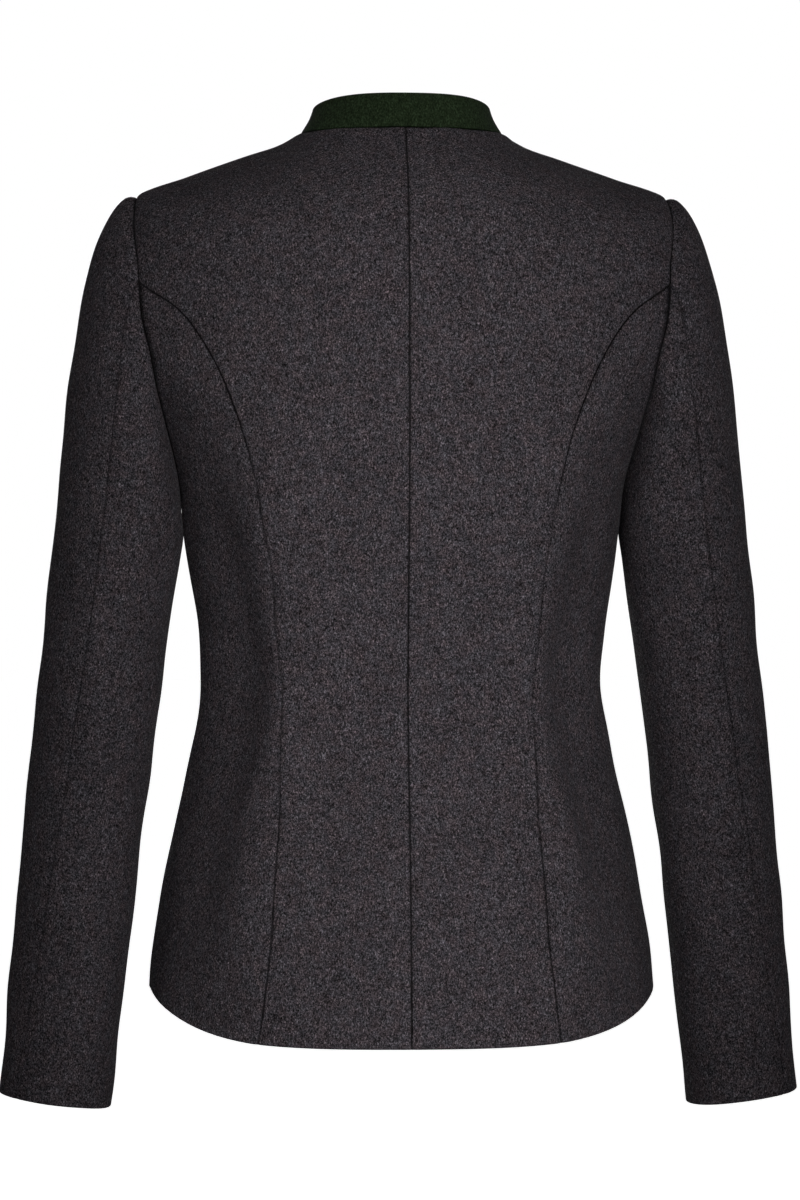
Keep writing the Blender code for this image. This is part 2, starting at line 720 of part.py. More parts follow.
def main():
    clear_scene()
    jacket = bpy.data.collections.new("loden_jacket")
    bpy.context.scene.collection.children.link(jacket)
    panels = body_panels()
    for name, rows in panels.items():
        cloth_piece(f"{name}_left", rows, CLOTH, LODEN, jacket, 1)
        right = raised(rows) if name == "front" else rows
        cloth_piece(f"{name}_right", right, CLOTH, LODEN, jacket, -1)
    build_sleeves(jacket)
    collar = cloth_piece("collar", collar_rows(), FELT, GREEN_FELT, jacket)
    for vert in collar.data.vertices:
        vert.co.z += SEAM_GAP
    for number in range(1, BUTTON_COUNT + 1):
        build_button(number, jacket)


if __name__ == "__main__":
    main()
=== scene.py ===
"""The looks of a fitted women's loden jacket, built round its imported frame.

Every cut piece is a thin closed shell of cloth, wrapped onto the worn form that its
solid has, with seams that roll in, turned hems, roped sleeve heads and soft folds.

Frame: the wearer faces -Y, +X is the wearer's left, +Z is up. Sizes are in metres.
"""

import math
from collections import namedtuple

import bmesh
import bpy
import numpy as np
from mathutils import Matrix, Vector


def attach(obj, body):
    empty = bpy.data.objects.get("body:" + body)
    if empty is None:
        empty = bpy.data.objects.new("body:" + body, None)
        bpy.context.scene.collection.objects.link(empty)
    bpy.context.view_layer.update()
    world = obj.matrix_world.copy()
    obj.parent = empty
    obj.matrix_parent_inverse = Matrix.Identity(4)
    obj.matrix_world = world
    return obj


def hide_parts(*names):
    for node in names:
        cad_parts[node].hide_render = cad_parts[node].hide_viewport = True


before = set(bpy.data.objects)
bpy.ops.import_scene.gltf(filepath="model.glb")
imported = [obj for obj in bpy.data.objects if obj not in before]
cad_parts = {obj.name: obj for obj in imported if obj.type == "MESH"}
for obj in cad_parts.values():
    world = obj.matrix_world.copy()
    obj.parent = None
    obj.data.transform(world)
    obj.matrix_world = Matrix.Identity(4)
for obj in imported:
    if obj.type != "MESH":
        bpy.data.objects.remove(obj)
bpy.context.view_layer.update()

bl_info = {
    "name": "Loden Jacket",
    "version": (1, 0, 0),
    "blender": (4, 5, 0),
    "location": "3D View > Sidebar > Loden Jacket",
    "description": "Builds the cloth, buttons and studio of a fitted loden jacket",
    "category": "Add Mesh",
}

# ------------------------------------------------------------------ the worn form
# Rings of the body from the hem up. side_x is half the width, side_z the height at
# the side; back_y, back_z and front_y, front_z are the middle of the back and front.
# A fullness of 2 is an ellipse, and more is squarer.
Ring = namedtuple(
    "Ring", "side_x side_z back_y back_z front_y front_z back_fullness front_fullness corner"
)
BODY_RINGS = (
    Ring(0.1775, -0.600, 0.1310, -0.6315, -0.122, -0.637, 2.15, 2.25, 0.010),  # hem
    Ring(0.1735, -0.563, 0.1290, -0.5830, -0.120, -0.586, 2.00, 2.25, 0.070),
    Ring(0.1670, -0.523, 0.1210, -0.5330, -0.115, -0.535, 1.87, 2.25, 0.125),
    Ring(0.1578, -0.478, 0.1070, -0.4820, -0.108, -0.483, 1.80, 2.25, 0.155),  # hip
    Ring(0.1472, -0.432, 0.0925, -0.4330, -0.101, -0.434, 1.80, 2.25, 0.165),
    Ring(0.1410, -0.390, 0.0850, -0.3900, -0.098, -0.390, 1.80, 2.25, 0.170),  # waist
    Ring(0.1427, -0.352, 0.0880, -0.3520, -0.105, -0.351, 1.80, 2.25, 0.170),
    Ring(0.1481, -0.314, 0.0950, -0.3160, -0.118, -0.313, 1.85, 2.25, 0.160),
    Ring(0.1533, -0.277, 0.1010, -0.2820, -0.130, -0.277, 2.00, 2.30, 0.125),
    Ring(0.1588, -0.240, 0.1050, -0.2490, -0.136, -0.242, 2.15, 2.35, 0.080),  # underarm
    Ring(0.1735, -0.198, 0.1068, -0.2170, -0.134, -0.214, 2.25, 2.15, 0.030),
    Ring(0.1935, -0.154, 0.1070, -0.1870, -0.128, -0.190, 2.20, 2.00, 0.0),
    Ring(0.2080, -0.110, 0.1065, -0.1570, -0.119, -0.166, 2.15, 1.95, 0.0),
    Ring(0.2020, -0.072, 0.1050, -0.1250, -0.109, -0.144, 2.20, 2.00, 0.0),
    Ring(0.1865, -0.045, 0.1020, -0.0900, -0.100, -0.124, 2.40, 2.25, 0.0),  # shoulder tip
    Ring(0.1500, -0.031, 0.0960, -0.0570, -0.091, -0.106, 2.40, 2.35, 0.0),
    Ring(0.1110, -0.0175, 0.0810, -0.0310, -0.081, -0.089, 2.30, 2.30, 0.0),
    Ring(0.0865, -0.0095, 0.0655, -0.0140, -0.071, -0.076, 2.20, 2.20, 0.0),
    Ring(0.0710, 0.0000, 0.0550, -0.0004, -0.063, -0.068, 2.10, 2.10, 0.0),  # neckline
)
TIP = 14
NECKLINE = len(BODY_RINGS) - 1
CORNER_TURN = 46.5  # the back's squarer corners: where they lie, and how wide they are
CORNER_SPREAD = 13.5

SeamPoint = namedtuple("SeamPoint", "height half_width")
BACK_PRINCESS = (
    SeamPoint(-0.565, 0.0950),
    SeamPoint(-0.485, 0.0890),
    SeamPoint(-0.425, 0.0875),
    SeamPoint(-0.362, 0.0897),
    SeamPoint(-0.307, 0.0945),
    SeamPoint(-0.252, 0.1038),
    SeamPoint(-0.198, 0.1185),
    SeamPoint(-0.156, 0.1375),
    SeamPoint(-0.128, 0.1580),
)
BACK_PRINCESS_HEM = 0.1035
FRONT_PRINCESS = (
    SeamPoint(-0.565, 0.1010),
    SeamPoint(-0.485, 0.0900),
    SeamPoint(-0.400, 0.0810),
    SeamPoint(-0.320, 0.0850),
    SeamPoint(-0.250, 0.0950),
    SeamPoint(-0.195, 0.1090),
    SeamPoint(-0.155, 0.1290),
    SeamPoint(-0.132, 0.1520),
)
FRONT_PRINCESS_HEM = 0.1120

# The armhole: angles run from the shoulder tip round by the back.
UNDERARM_Z = -0.264
ARMHOLE_BACK = 0.0565
ARMHOLE_FRONT = 0.055
ARMHOLE_LEAN = 0.15  # how much shallower the front of the armhole is at its top
ARMHOLE_TAPER = 0.60  # how much shallower the back of the armhole is at its foot
BACK_NOTCH = 65.0
FOREARM_NOTCH = 257.0
FRONT_NOTCH = 289.0
SIDE_TIP = 0.0012  # the width at which a side panel's upper point ends
ARMHOLE_REACH = 5  # sleeve rings over which the armhole's shape fades

SleeveRing = namedtuple("SleeveRing", "under_x under_z outer_x outer_z middle_y half_depth")
SLEEVE_RINGS = (
    SleeveRing(0.1552, UNDERARM_Z, 0.1865, -0.0450, 0.001, 0.0570),
    SleeveRing(0.1552, -0.2655, 0.1945, -0.0465, 0.001, 0.0575),
    SleeveRing(0.1551, -0.2680, 0.2045, -0.0575, 0.001, 0.0585),
    SleeveRing(0.1546, -0.2715, 0.2140, -0.0765, 0.001, 0.0595),
    SleeveRing(0.1540, -0.2755, 0.2215, -0.1030, 0.001, 0.0600),
    SleeveRing(0.1535, -0.2810, 0.2285, -0.1370, 0.001, 0.0600),
    SleeveRing(0.1541, -0.2880, 0.2340, -0.1780, 0.001, 0.0595),
    SleeveRing(0.1561, -0.3000, 0.2395, -0.2290, 0.000, 0.0585),
    SleeveRing(0.1610, -0.3300, 0.2467, -0.3040, -0.002, 0.0565),
    SleeveRing(0.1692, -0.3920, 0.2547, -0.3770, -0.005, 0.0535),
    SleeveRing(0.1788, -0.4640, 0.2625, -0.4500, -0.010, 0.0505),
    SleeveRing(0.1878, -0.5380, 0.2698, -0.5250, -0.015, 0.0475),
    SleeveRing(0.1966, -0.6140, 0.2768, -0.6020, -0.020, 0.0450),
    SleeveRing(0.2051, -0.6866, 0.2836, -0.6760, -0.025, 0.0425),
)
CUFF = len(SLEEVE_RINGS) - 1
SleeveSeam = namedtuple("SleeveSeam", "ring hindarm forearm")
SLEEVE_SEAMS = (
    SleeveSeam(0, BACK_NOTCH, FOREARM_NOTCH),
    SleeveSeam(4, 74.0, 249.0),
    SleeveSeam(7, 77.0, 247.0),
    SleeveSeam(9, 74.0, 244.0),
    SleeveSeam(11, 64.0, 236.0),
    SleeveSeam(13, 46.0, 224.0),
)
COLLAR_RINGS = (
    BODY_RINGS[NECKLINE],
    Ring(0.0652, 0.0095, 0.0530, 0.0120, -0.0610, -0.0560, 2.10, 2.10, 0.0),
    Ring(0.0620, 0.0185, 0.0500, 0.0242, -0.0590, -0.0440, 2.10, 2.10, 0.0),
)
COLLAR_TOP = len(COLLAR_RINGS) - 1.0
COLLAR_END_GAP = 0.0015
COLLAR_CORNER = 0.008  # radius of the collar's upper front corners

LAP = 0.020  # how far each front reaches past the centre line
LAP_CLEAR = 0.003
LAP_RISE = 0.030  # over this width the upper front comes down beside the lower one
LAP_GAP = 0.0006
SOLID_CLOTH = 0.0022  # thickness of the solids' cloth, which the buttons lie on

BUTTON_COUNT = 5
BUTTON_TOP_Z = -0.100
BUTTON_SPACING = 0.085
BUTTON_SHANK = 0.001
BUTTON_RADIUS = 0.009
BUTTON_THICKNESS = 0.0036
RIM_WIDTH = 0.0022
DISH_SLOPE = 0.0006
DISH_DEPTH = 0.0009
UNDERSIDE = 0.90  # the underside's share of the disc's width
DISC_ROUNDING = 0.0006
DRILL_LENGTH = 0.02
HOLE_OFFSET = 0.0015
HOLE_RADIUS = 0.0008
STITCH_RADIUS = 0.00024
STITCH_SPACING = 0.00035
STITCH_HEIGHT = BUTTON_THICKNESS - 0.0008
SHANK_RADIUS = 0.0016
SHANK_LENGTH = 0.0019
SHANK_MIDDLE = -0.0006
BUTTONHOLE_START = 0.004  # past the centre line, toward the front's edge
BUTTONHOLE_END = -0.019
BUTTONHOLE_HALF = 0.0008
BEAD = 0.00075  # the stitches' bead: its half width, and how flat it is
BEAD_FLATNESS = 0.6
BEAD_STEPS = 96
BEAD_CORNERS = 10
BUTTON_X = 1e-6  # just off the centre line, as a place on it has no side
BEAD_X = 1e-5

# How finely things are worked out.
HALVINGS = 34
RUN_POINTS = 240
DEGREE_STEPS = 361
BEND_FADE = 4  # how fast an edge's own bends fade toward the panel's middle
BODY_STEPS = (0.4, 0.02)  # steps of turn and level over which a form's slope is taken
SLEEVE_STEPS = (3.0, 0.4)
TINY = 1e-9


def eased(share):
    """A step from 0 to 1 that starts and ends level."""
    share = np.clip(share, 0.0, 1.0)
    return share * share * (3.0 - 2.0 * share)


def unit(vectors):
    """Vectors in the same directions, one long."""
    return vectors / np.linalg.norm(vectors, axis=-1, keepdims=True)


def rows_between(table, level):
    """A table's rows at fractional levels, on a smooth curve through the rows."""
    rows = np.array(table, float)
    last = len(rows) - 1
    level = np.asarray(level, float)
    below = np.clip(np.floor(level).astype(int), 0, last - 1)
    t = (level - below)[..., None]
    start = rows[below]
    end = rows[below + 1]
    rise_in = (end - rows[np.maximum(below - 1, 0)]) / 2.0
    rise_out = (rows[np.minimum(below + 2, last)] - start) / 2.0
    bend = rise_in + rise_out - 2.0 * (end - start)
    turn = 3.0 * (end - start) - 2.0 * rise_in - rise_out
    return start + t * (rise_in + t * (turn + t * bend))


def on_rings(ring, turn):
    """Points of rings; turn runs from 0 at the back by 90 at the side to 180 in front."""
    ring = Ring(*np.moveaxis(ring, -1, 0))
    angle = np.radians(turn)
    across = np.sin(angle)
    along = np.cos(angle)
    behind = along >= 0.0
    depth = np.where(behind, ring.back_y, -ring.front_y)
    middle_z = np.where(behind, ring.back_z, ring.front_z)
    fullness = np.where(behind, ring.back_fullness, ring.front_fullness)
    shares = np.abs(across / ring.side_x) ** fullness + np.abs(along / depth) ** fullness
    reach = shares ** (-1.0 / fullness)
    squareness = np.exp(-(((np.abs(turn) - CORNER_TURN) / CORNER_SPREAD) ** 2))
    squareness = squareness * np.abs(np.sin(2.0 * angle))
    reach = reach * (1.0 + np.where(behind, ring.corner, 0.0) * squareness)
    x = reach * across
    y = reach * along
    z = ring.side_z + (middle_z - ring.side_z) * eased(np.abs(y) / depth)
    return np.stack([x, y, z], -1)


def body_point(turn, level):
    """A point of the body's form."""
    return on_rings(rows_between(BODY_RINGS, level), np.asarray(turn, float))


def collar_point(turn, level):
    """A point of the collar's form."""
    return on_rings(rows_between(COLLAR_RINGS, level), np.asarray(turn, float))


def halved(low, high, is_low):
    """The values between two limits where is_low stops being true."""
    for _ in range(HALVINGS):
        middle = (low + high) / 2.0
        below = is_low(middle)
        low = np.where(below, middle, low)
        high = np.where(below, high, middle)
    return (low + high) / 2.0


def level_at(turn, height):
    """The body's level at a height."""
    turn, height = np.broadcast_arrays(np.asarray(turn, float), np.asarray(height, float))
    zero = np.zeros(turn.shape)
    return halved(zero, zero + NECKLINE, lambda level: body_point(turn, level)[..., 2] < height)


def place_at(first_turn, last_turn, height, axis, value):
    """Turn and level where the form, at a height, has a value along an axis."""
    height, value = np.broadcast_arrays(np.asarray(height, float), np.asarray(value, float))
    first = np.full(height.shape, first_turn)
    last = np.full(height.shape, last_turn)
    start = body_point(first, level_at(first_turn, height))[..., axis]
    end = body_point(last, level_at(last_turn, height))[..., axis]
    rising = np.where(end > start, 1.0, -1.0)

    def is_low(turn):
        here = body_point(turn, level_at(turn, height))[..., axis]
        return (here - value) * rising < 0.0

    turn = halved(first, last, is_low)
    return turn, level_at(turn, height)


# --------------------------------------------------------------- seams and edges
# A run is a line on the form: closely spaced turns and levels, how far along each is
# from 0 to 1, and its length. An edge is a chain of runs with their station counts.
Run = namedtuple("Run", "turn level share length")


def run_through(point_at, turn, level):
    """The run along a line's turns and levels."""
    place = point_at(turn, level)
    steps = np.linalg.norm(np.diff(place, axis=0), axis=1)
    travelled = np.concatenate([[0.0], np.cumsum(steps)])
    return Run(turn, level, travelled / travelled[-1], travelled[-1])


def straight_run(first, last, point_at=body_point):
    """A run whose turn and level go evenly from one (turn, level) to another."""
    share = np.linspace(0.0, 1.0, RUN_POINTS)
    turn = first[0] + (last[0] - first[0]) * share
    level = first[1] + (last[1] - first[1]) * share
    return run_through(point_at, turn, level)


def part_of(run, first, last, point_at=None):
    """The part of a run between two shares of it, in that order."""
    share = np.linspace(first, last, RUN_POINTS)
    turn = np.interp(share, run.share, run.turn)
    level = np.interp(share, run.share, run.level)
    return run_through(point_at or body_point, turn, level)


def on_edge(edge, station):
    """Turn and level on an edge, and the share of its length, at its stations."""
    turn = np.zeros(len(station))
    level = np.zeros(len(station))
    share = np.zeros(len(station))
    whole = sum(run.length for run, _ in edge)
    start = 0.0
    before = 0.0
    for run, count in edge:
        inside = (station >= start - TINY) & (station <= start + count + TINY)
        along = np.clip((station[inside] - start) / count, 0.0, 1.0)
        turn[inside] = np.interp(along, run.share, run.turn)
        level[inside] = np.interp(along, run.share, run.level)
        share[inside] = (before + along * run.length) / whole
        start += count
        before += run.length
    return np.stack([turn, level], -1), share


def armhole_places(angle):
    """Turn and level of the armhole at its angles."""
    turned = np.radians(angle)
    middle_z = (BODY_RINGS[TIP].side_z + UNDERARM_Z) / 2.0
    half_height = (BODY_RINGS[TIP].side_z - UNDERARM_Z) / 2.0
    height = middle_z + half_height * np.cos(turned)
    behind = ARMHOLE_BACK * (1.0 - ARMHOLE_TAPER * eased((0.1 - np.cos(turned)) / 1.1))
    in_front = ARMHOLE_FRONT * (1.0 - ARMHOLE_LEAN * np.cos(turned))
    reach = np.where(np.sin(turned) >= 0.0, behind, in_front) * np.sin(turned)
    reach = np.where(np.abs(reach) < TINY, 0.0, reach)
    turn, level = place_at(20.0, 160.0, height, 1, reach)
    at_side = np.abs(np.sin(turned)) < TINY
    at_tip = at_side & (np.cos(turned) > 0.0)
    return np.where(at_side, 90.0, turn), np.where(at_tip, float(TIP), level)


ARMHOLE_ANGLES = np.linspace(0.0, 360.0, DEGREE_STEPS)
ARMHOLE_TURNS, ARMHOLE_LEVELS = armhole_places(ARMHOLE_ANGLES)


def armhole_at(angle):
    """Turn and level of the armhole at any angle."""
    angle = np.mod(angle, 360.0)
    turn = np.interp(angle, ARMHOLE_ANGLES, ARMHOLE_TURNS)
    return turn, np.interp(angle, ARMHOLE_ANGLES, ARMHOLE_LEVELS)


def armhole_run(first_angle, last_angle):
    """The run along the armhole between two angles."""
    return run_through(body_point, *armhole_at(np.linspace(first_angle, last_angle, RUN_POINTS)))


def princess_run(points, first_turn, last_turn, hem_width, end_angle):
    """A princess seam from the hem to the armhole, and its share at the underarm's height."""
    height = np.array([p.height for p in points])
    width = np.array([p.half_width for p in points])
    turn, level = place_at(first_turn, last_turn, height, 0, width)
    hem_turns = np.linspace(first_turn, last_turn, DEGREE_STEPS)
    hem_x = body_point(hem_turns, np.zeros(DEGREE_STEPS))[:, 0]
    order = np.argsort(hem_x)
    hem_turn = np.interp(hem_width, hem_x[order], hem_turns[order])
    end_turn, end_level = armhole_at(end_angle)
    stops = np.stack([[hem_turn, *turn, end_turn], [0.0, *level, end_level]], -1)
    smooth = rows_between(stops, np.linspace(0.0, len(stops) - 1, RUN_POINTS))
    run = run_through(body_point, smooth[:, 0], np.maximum(smooth[:, 1], 0.0))
    heights = body_point(run.turn, run.level)[:, 2]
    return run, np.interp(UNDERARM_Z, heights, run.share)


# ------------------------------------------------------------------------ sleeves
def sleeve_oval(angle, level):
    """A point of the sleeve's own ovals."""
    ring = SleeveRing(*np.moveaxis(rows_between(SLEEVE_RINGS, level), -1, 0))
    turned = np.radians(angle)
    half_x = (ring.outer_x - ring.under_x) / 2.0
    half_z = (ring.outer_z - ring.under_z) / 2.0
    x = (ring.outer_x + ring.under_x) / 2.0 + half_x * np.cos(turned)
    z = (ring.outer_z + ring.under_z) / 2.0 + half_z * np.cos(turned)
    return np.stack([x, ring.middle_y + ring.half_depth * np.sin(turned), z], -1)


def sleeve_point(angle, level):
    """A point of the sleeve, which starts on the armhole and eases onto its own rings."""
    angle, level = np.broadcast_arrays(np.asarray(angle, float), np.asarray(level, float))
    nearness = np.maximum(0.0, 1.0 - level / ARMHOLE_REACH) ** 2
    from_oval = body_point(*armhole_at(angle)) - sleeve_oval(angle, np.zeros(angle.shape))
    return sleeve_oval(angle, level) + from_oval * nearness[..., None]


def sleeve_seam_run(which, shift):
    """A long sleeve seam from the armhole to the cuff."""
    level = np.linspace(0.0, CUFF, RUN_POINTS)
    rings = [row.ring for row in SLEEVE_SEAMS]
    position = np.interp(level, rings, np.arange(len(rings)))
    column = 1 if which == "hindarm" else 2
    angle = rows_between(SLEEVE_SEAMS, position)[:, column] + shift
    return run_through(sleeve_point, angle, level)


# ------------------------------------------------------------------------- panels
# A panel lies between four edges. The kinds say how each of them is finished.
Panel = namedtuple("Panel", "point_at left right bottom top kinds shared")
Kinds = namedtuple("Kinds", "left right bottom top")


def lap_run(side):
    """The line a lap's width past the front's centre line (side 1) or before it (-1)."""
    level = np.linspace(0.0, NECKLINE, RUN_POINTS)
    front_y = body_point(np.full(RUN_POINTS, 180.0), level)[:, 1]
    turn = 180.0 + side * np.degrees(np.arctan(LAP / -front_y))
    return run_through(body_point, turn, level)


def body_panels():
    """The left body panels, each between its edges."""
    back_seam, back_share = princess_run(BACK_PRINCESS, 0.0, 90.0, BACK_PRINCESS_HEM, BACK_NOTCH)
    front_seam, front_share = princess_run(
        FRONT_PRINCESS, 90.0, 180.0, FRONT_PRINCESS_HEM, FRONT_NOTCH
    )
    side_top = float(level_at(90.0, UNDERARM_Z))
    side_seam = straight_run((90.0, 0.0), (90.0, side_top))
    shoulder = straight_run((90.0, NECKLINE), (90.0, TIP))
    back_top = float(level_at(0.0, UNDERARM_Z))
    back_low = straight_run((0.0, 0.0), (0.0, back_top))
    back_high = straight_run((0.0, back_top), (0.0, NECKLINE))
    back_neck = straight_run((0.0, NECKLINE), (90.0, NECKLINE))
    back_hem = straight_run((0.0, 0.0), (back_seam.turn[0], 0.0))
    side_back_hem = straight_run((back_seam.turn[0], 0.0), (90.0, 0.0))
    side_front_hem = straight_run((front_seam.turn[0], 0.0), (90.0, 0.0))
    lap = lap_run(1)
    front_top = float(level_at(180.0, UNDERARM_Z))
    lap_share = np.interp(front_top, lap.level, lap.share)
    front_neck = straight_run((lap.turn[-1], NECKLINE), (90.0, NECKLINE))
    front_hem = straight_run((lap.turn[0], 0.0), (front_seam.turn[0], 0.0))
    panels = {}
    panels["back"] = Panel(
        body_point,
        ((back_low, 12), (back_high, 11)),
        ((part_of(back_seam, 0.0, back_share), 12), (part_of(back_seam, back_share, 1.0), 7),
         (armhole_run(BACK_NOTCH, 0.0), 4)),
        ((back_hem, 8),),
        ((back_neck, 3), (shoulder, 5)),
        Kinds("seam", "princess", "hem", "seam"),
        (ARMHOLE_LINE, NECK_LINE),
    )
    for name, seam, share, notch, hem in (
        ("side_back", back_seam, back_share, BACK_NOTCH, side_back_hem),
        ("side_front", front_seam, front_share, FRONT_NOTCH, side_front_hem),
    ):
        whole = armhole_run(180.0, notch)
        tip_share = 1.0 - SIDE_TIP / whole.length
        point = part_of(whole, 1.0, tip_share)
        panels[name] = Panel(
            body_point,
            ((part_of(seam, 0.0, share), 12), (part_of(seam, share, 1.0), 7)),
            ((side_seam, 12), (part_of(whole, 0.0, tip_share), 7)),
            ((hem, 5),),
            ((point, 5),),
            Kinds("princess", "side", "hem", "seam"),
            (ARMHOLE_LINE,),
        )
    panels["front"] = Panel(
        body_point,
        ((part_of(lap, 0.0, lap_share), 12), (part_of(lap, lap_share, 1.0), 12)),
        ((part_of(front_seam, 0.0, front_share), 12), (part_of(front_seam, front_share, 1.0), 7),
         (armhole_run(FRONT_NOTCH, 360.0), 5)),
        ((front_hem, 9),),
        ((front_neck, 4), (shoulder, 5)),
        Kinds("open", "princess", "hem", "seam"),
        (ARMHOLE_LINE, NECK_LINE),
    )
    return panels


def sleeve_panels():
    """The left sleeve's two panels, each between its edges."""

    def across(level, first_turn, last_turn):
        return straight_run((first_turn, level), (last_turn, level), sleeve_point)

    panels = {}
    for name, first, last, first_shift, last_shift in (
        ("top_sleeve", "forearm", "hindarm", -360.0, 0.0),
        ("under_sleeve", "hindarm", "forearm", 0.0, 0.0),
    ):
        left = sleeve_seam_run(first, first_shift)
        right = sleeve_seam_run(last, last_shift)
        panels[name] = Panel(
            sleeve_point,
            ((left, 23),),
            ((right, 23),),
            ((across(0.0, left.turn[0], right.turn[0]), 10),),
            ((across(CUFF, left.turn[-1], right.turn[-1]), 10),),
            Kinds("arm_seam", "arm_seam", "head", "cuff"),
            (ARMHOLE_LINE,),
        )
    return panels


def collar_panel():
    """The collar, whose upper front corners are rounded."""
    end = 180.0 - math.degrees(math.atan(COLLAR_END_GAP / -COLLAR_RINGS[0].front_y))
    seam = straight_run((-end, 0.0), (end, 0.0), collar_point)
    rim = straight_run((-end, COLLAR_TOP), (end, COLLAR_TOP), collar_point)
    height = straight_run((end, 0.0), (end, COLLAR_TOP), collar_point).length
    from_end = np.minimum(rim.share, 1.0 - rim.share) * rim.length
    short = np.maximum(COLLAR_CORNER - from_end, 0.0)
    drop = COLLAR_CORNER - np.sqrt(COLLAR_CORNER ** 2 - short ** 2)
    rounded = run_through(collar_point, rim.turn, COLLAR_TOP * (1.0 - drop / height))
    ends = [
        straight_run((turn, 0.0), (turn, rounded.level[0]), collar_point) for turn in (-end, end)
    ]
    return Panel(
        collar_point,
        ((ends[0], 4),),
        ((ends[1], 4),),
        ((seam, 40),),
        ((rounded, 40),),
        Kinds("open", "open", "neck", "rim"),
        (NECK_LINE,),
    )


# ---------------------------------------------------------------- the cloth itself
# How an edge is finished: the radius it is rounded to, how deep and how wide the
# cloth sinks into it, how high its pressed allowance lifts the cloth beside it, how
# much its turned-up layer adds to the thickness, over how long a strip, and how dark
# the painted shadow line beside it is.
EdgeKind = namedtuple("EdgeKind", "radius sink sink_width ridge layer strip line")
PLAIN_SEAM = EdgeKind(0.0005, 0.0004, 0.0012, 0.00025, 0.0, 0.010, 0.82)
EDGE_KINDS = {
    "seam": PLAIN_SEAM,
    "side": PLAIN_SEAM,
    "princess": EdgeKind(0.0006, 0.0005, 0.0013, 0.00025, 0.0, 0.010, 0.95),
    "arm_seam": EdgeKind(0.0006, 0.0003, 0.0014, 0.00020, 0.0, 0.010, 0.40),
    "hem": EdgeKind(0.0016, 0.0, 0.0020, 0.0, 0.0018, 0.038, 0.0),
    "cuff": EdgeKind(0.0016, 0.0, 0.0020, 0.0, 0.0018, 0.036, 0.0),
    "head": EdgeKind(0.0007, 0.0005, 0.0018, 0.0, 0.0, 0.010, 0.88),
    "neck": EdgeKind(0.0008, 0.0002, 0.0020, 0.0, 0.0, 0.010, 0.9),
    "open": EdgeKind(0.0011, 0.0002, 0.0012, 0.0004, 0.0, 0.010, 0.80),
    "rim": EdgeKind(0.0014, 0.0, 0.0020, 0.0, 0.0, 0.010, 0.0),
}
RIDGE_RISE = 0.004  # the pressed allowance: where it is full, where it ends, and its fall
RIDGE_END = 0.006
RIDGE_FALL = 0.005
LAYER_FALL = 0.003
# The princess seams' painted shadow lines are crisp above, and soft lower down.
PRINCESS_STRONG_Z = -0.19  # the princess seams are crisp above, and soft lower down
PRINCESS_STRONG_FALL = 0.11
PRINCESS_WAIST_Z = -0.44
PRINCESS_WAIST_FALL = 0.10
PRINCESS_RECOVERY = 0.6
PRINCESS_FADE = 0.55
# The shadow lines below are painted shade, darkening the cloth's colour beside its edges.
LINE_FULL = 0.0002  # a shadow line: how far it is at its darkest, and how far it fades
LINE_REACH = 0.0008
# The sleeve's contact shadow on the body is painted as a wider shadow line by the lower armhole.
PAINTED_CREASE_REACH = 0.0050  # the body's cloth is in shadow this far from the lower armhole
PAINTED_CREASE_RISE = 0.010
FACING = 0.042  # the turned-up hem stops this far behind the front edge
FACING_FADE = 0.006
SHARED_WIDTH = 0.006  # how near a shared seam the cloth turns to its direction
EDGE_STEPS = (0.0, 0.00012, 0.00045, 0.0010, 0.0018, 0.0030, 0.0048, 0.0075)
NEAR_ROWS = len(EDGE_STEPS) - 2  # the last row beside an edge
EDGE_SHARE = 0.35  # how much of a narrow panel the rows beside an edge may take

# Soft folds as short table rows. On the body, around runs in degrees from the middle
# of the back, to the wearer's left; on a sleeve it is the angle round the arm. Height
# is Z. A fold runs from its first place to its last; a depth below 0 is a trough.
Fold = namedtuple("Fold", "around height last_around last_height width depth")
BODY_FOLDS = (
    Fold(72.0, -0.262, 42.0, -0.330, 0.011, -0.0014),
    Fold(80.0, -0.285, 50.0, -0.372, 0.009, 0.0010),
    Fold(-70.0, -0.268, -44.0, -0.322, 0.010, -0.0012),
    Fold(-82.0, -0.292, -52.0, -0.360, 0.010, 0.0009),
    Fold(30.0, -0.398, 62.0, -0.384, 0.009, -0.0008),
    Fold(-26.0, -0.386, -66.0, -0.402, 0.010, -0.0009),
    Fold(105.0, -0.270, 140.0, -0.345, 0.011, -0.0014),
    Fold(-102.0, -0.262, -138.0, -0.338, 0.012, -0.0015),
    Fold(120.0, -0.395, 160.0, -0.405, 0.010, -0.0010),
    Fold(-118.0, -0.402, -152.0, -0.392, 0.010, -0.0010),
)
SLEEVE_FOLDS = (
    Fold(188.0, -0.266, 190.0, -0.278, 0.007, 0.0012),
    Fold(150.0, -0.300, 90.0, -0.345, 0.010, -0.0013),
    Fold(160.0, -0.330, 108.0, -0.372, 0.009, 0.0009),
    Fold(200.0, -0.410, 268.0, -0.395, 0.010, -0.0018),
    Fold(190.0, -0.440, 258.0, -0.432, 0.009, -0.0014),
    Fold(40.0, -0.520, 62.0, -0.640, 0.012, -0.0010),
)
Ripple = namedtuple("Ripple", "around_length height_length phase size")
RIPPLES = (
    Ripple(0.083, 0.131, 0.4, 0.00034),
    Ripple(-0.061, 0.097, 2.1, 0.00022),
    Ripple(0.143, -0.071, 4.0, 0.00030),
    Ripple(0.047, 0.053, 1.3, 0.00010),
)
AROUND_BODY = 0.125  # metres for each radian round the body
AROUND_SLEEVE = 0.048
AROUND_COLLAR = 0.06
FOLD_BEND = 0.18  # how far a fold bows out, as a share of its length
SLEEVE_RIPPLE_SHIFT = 0.3
COLLAR_RIPPLE = 0.4
ROPING = 0.0003  # how far the eased sleeve head stands above its seam
ROPING_FROM = 0.008
ROPING_TO = 0.030


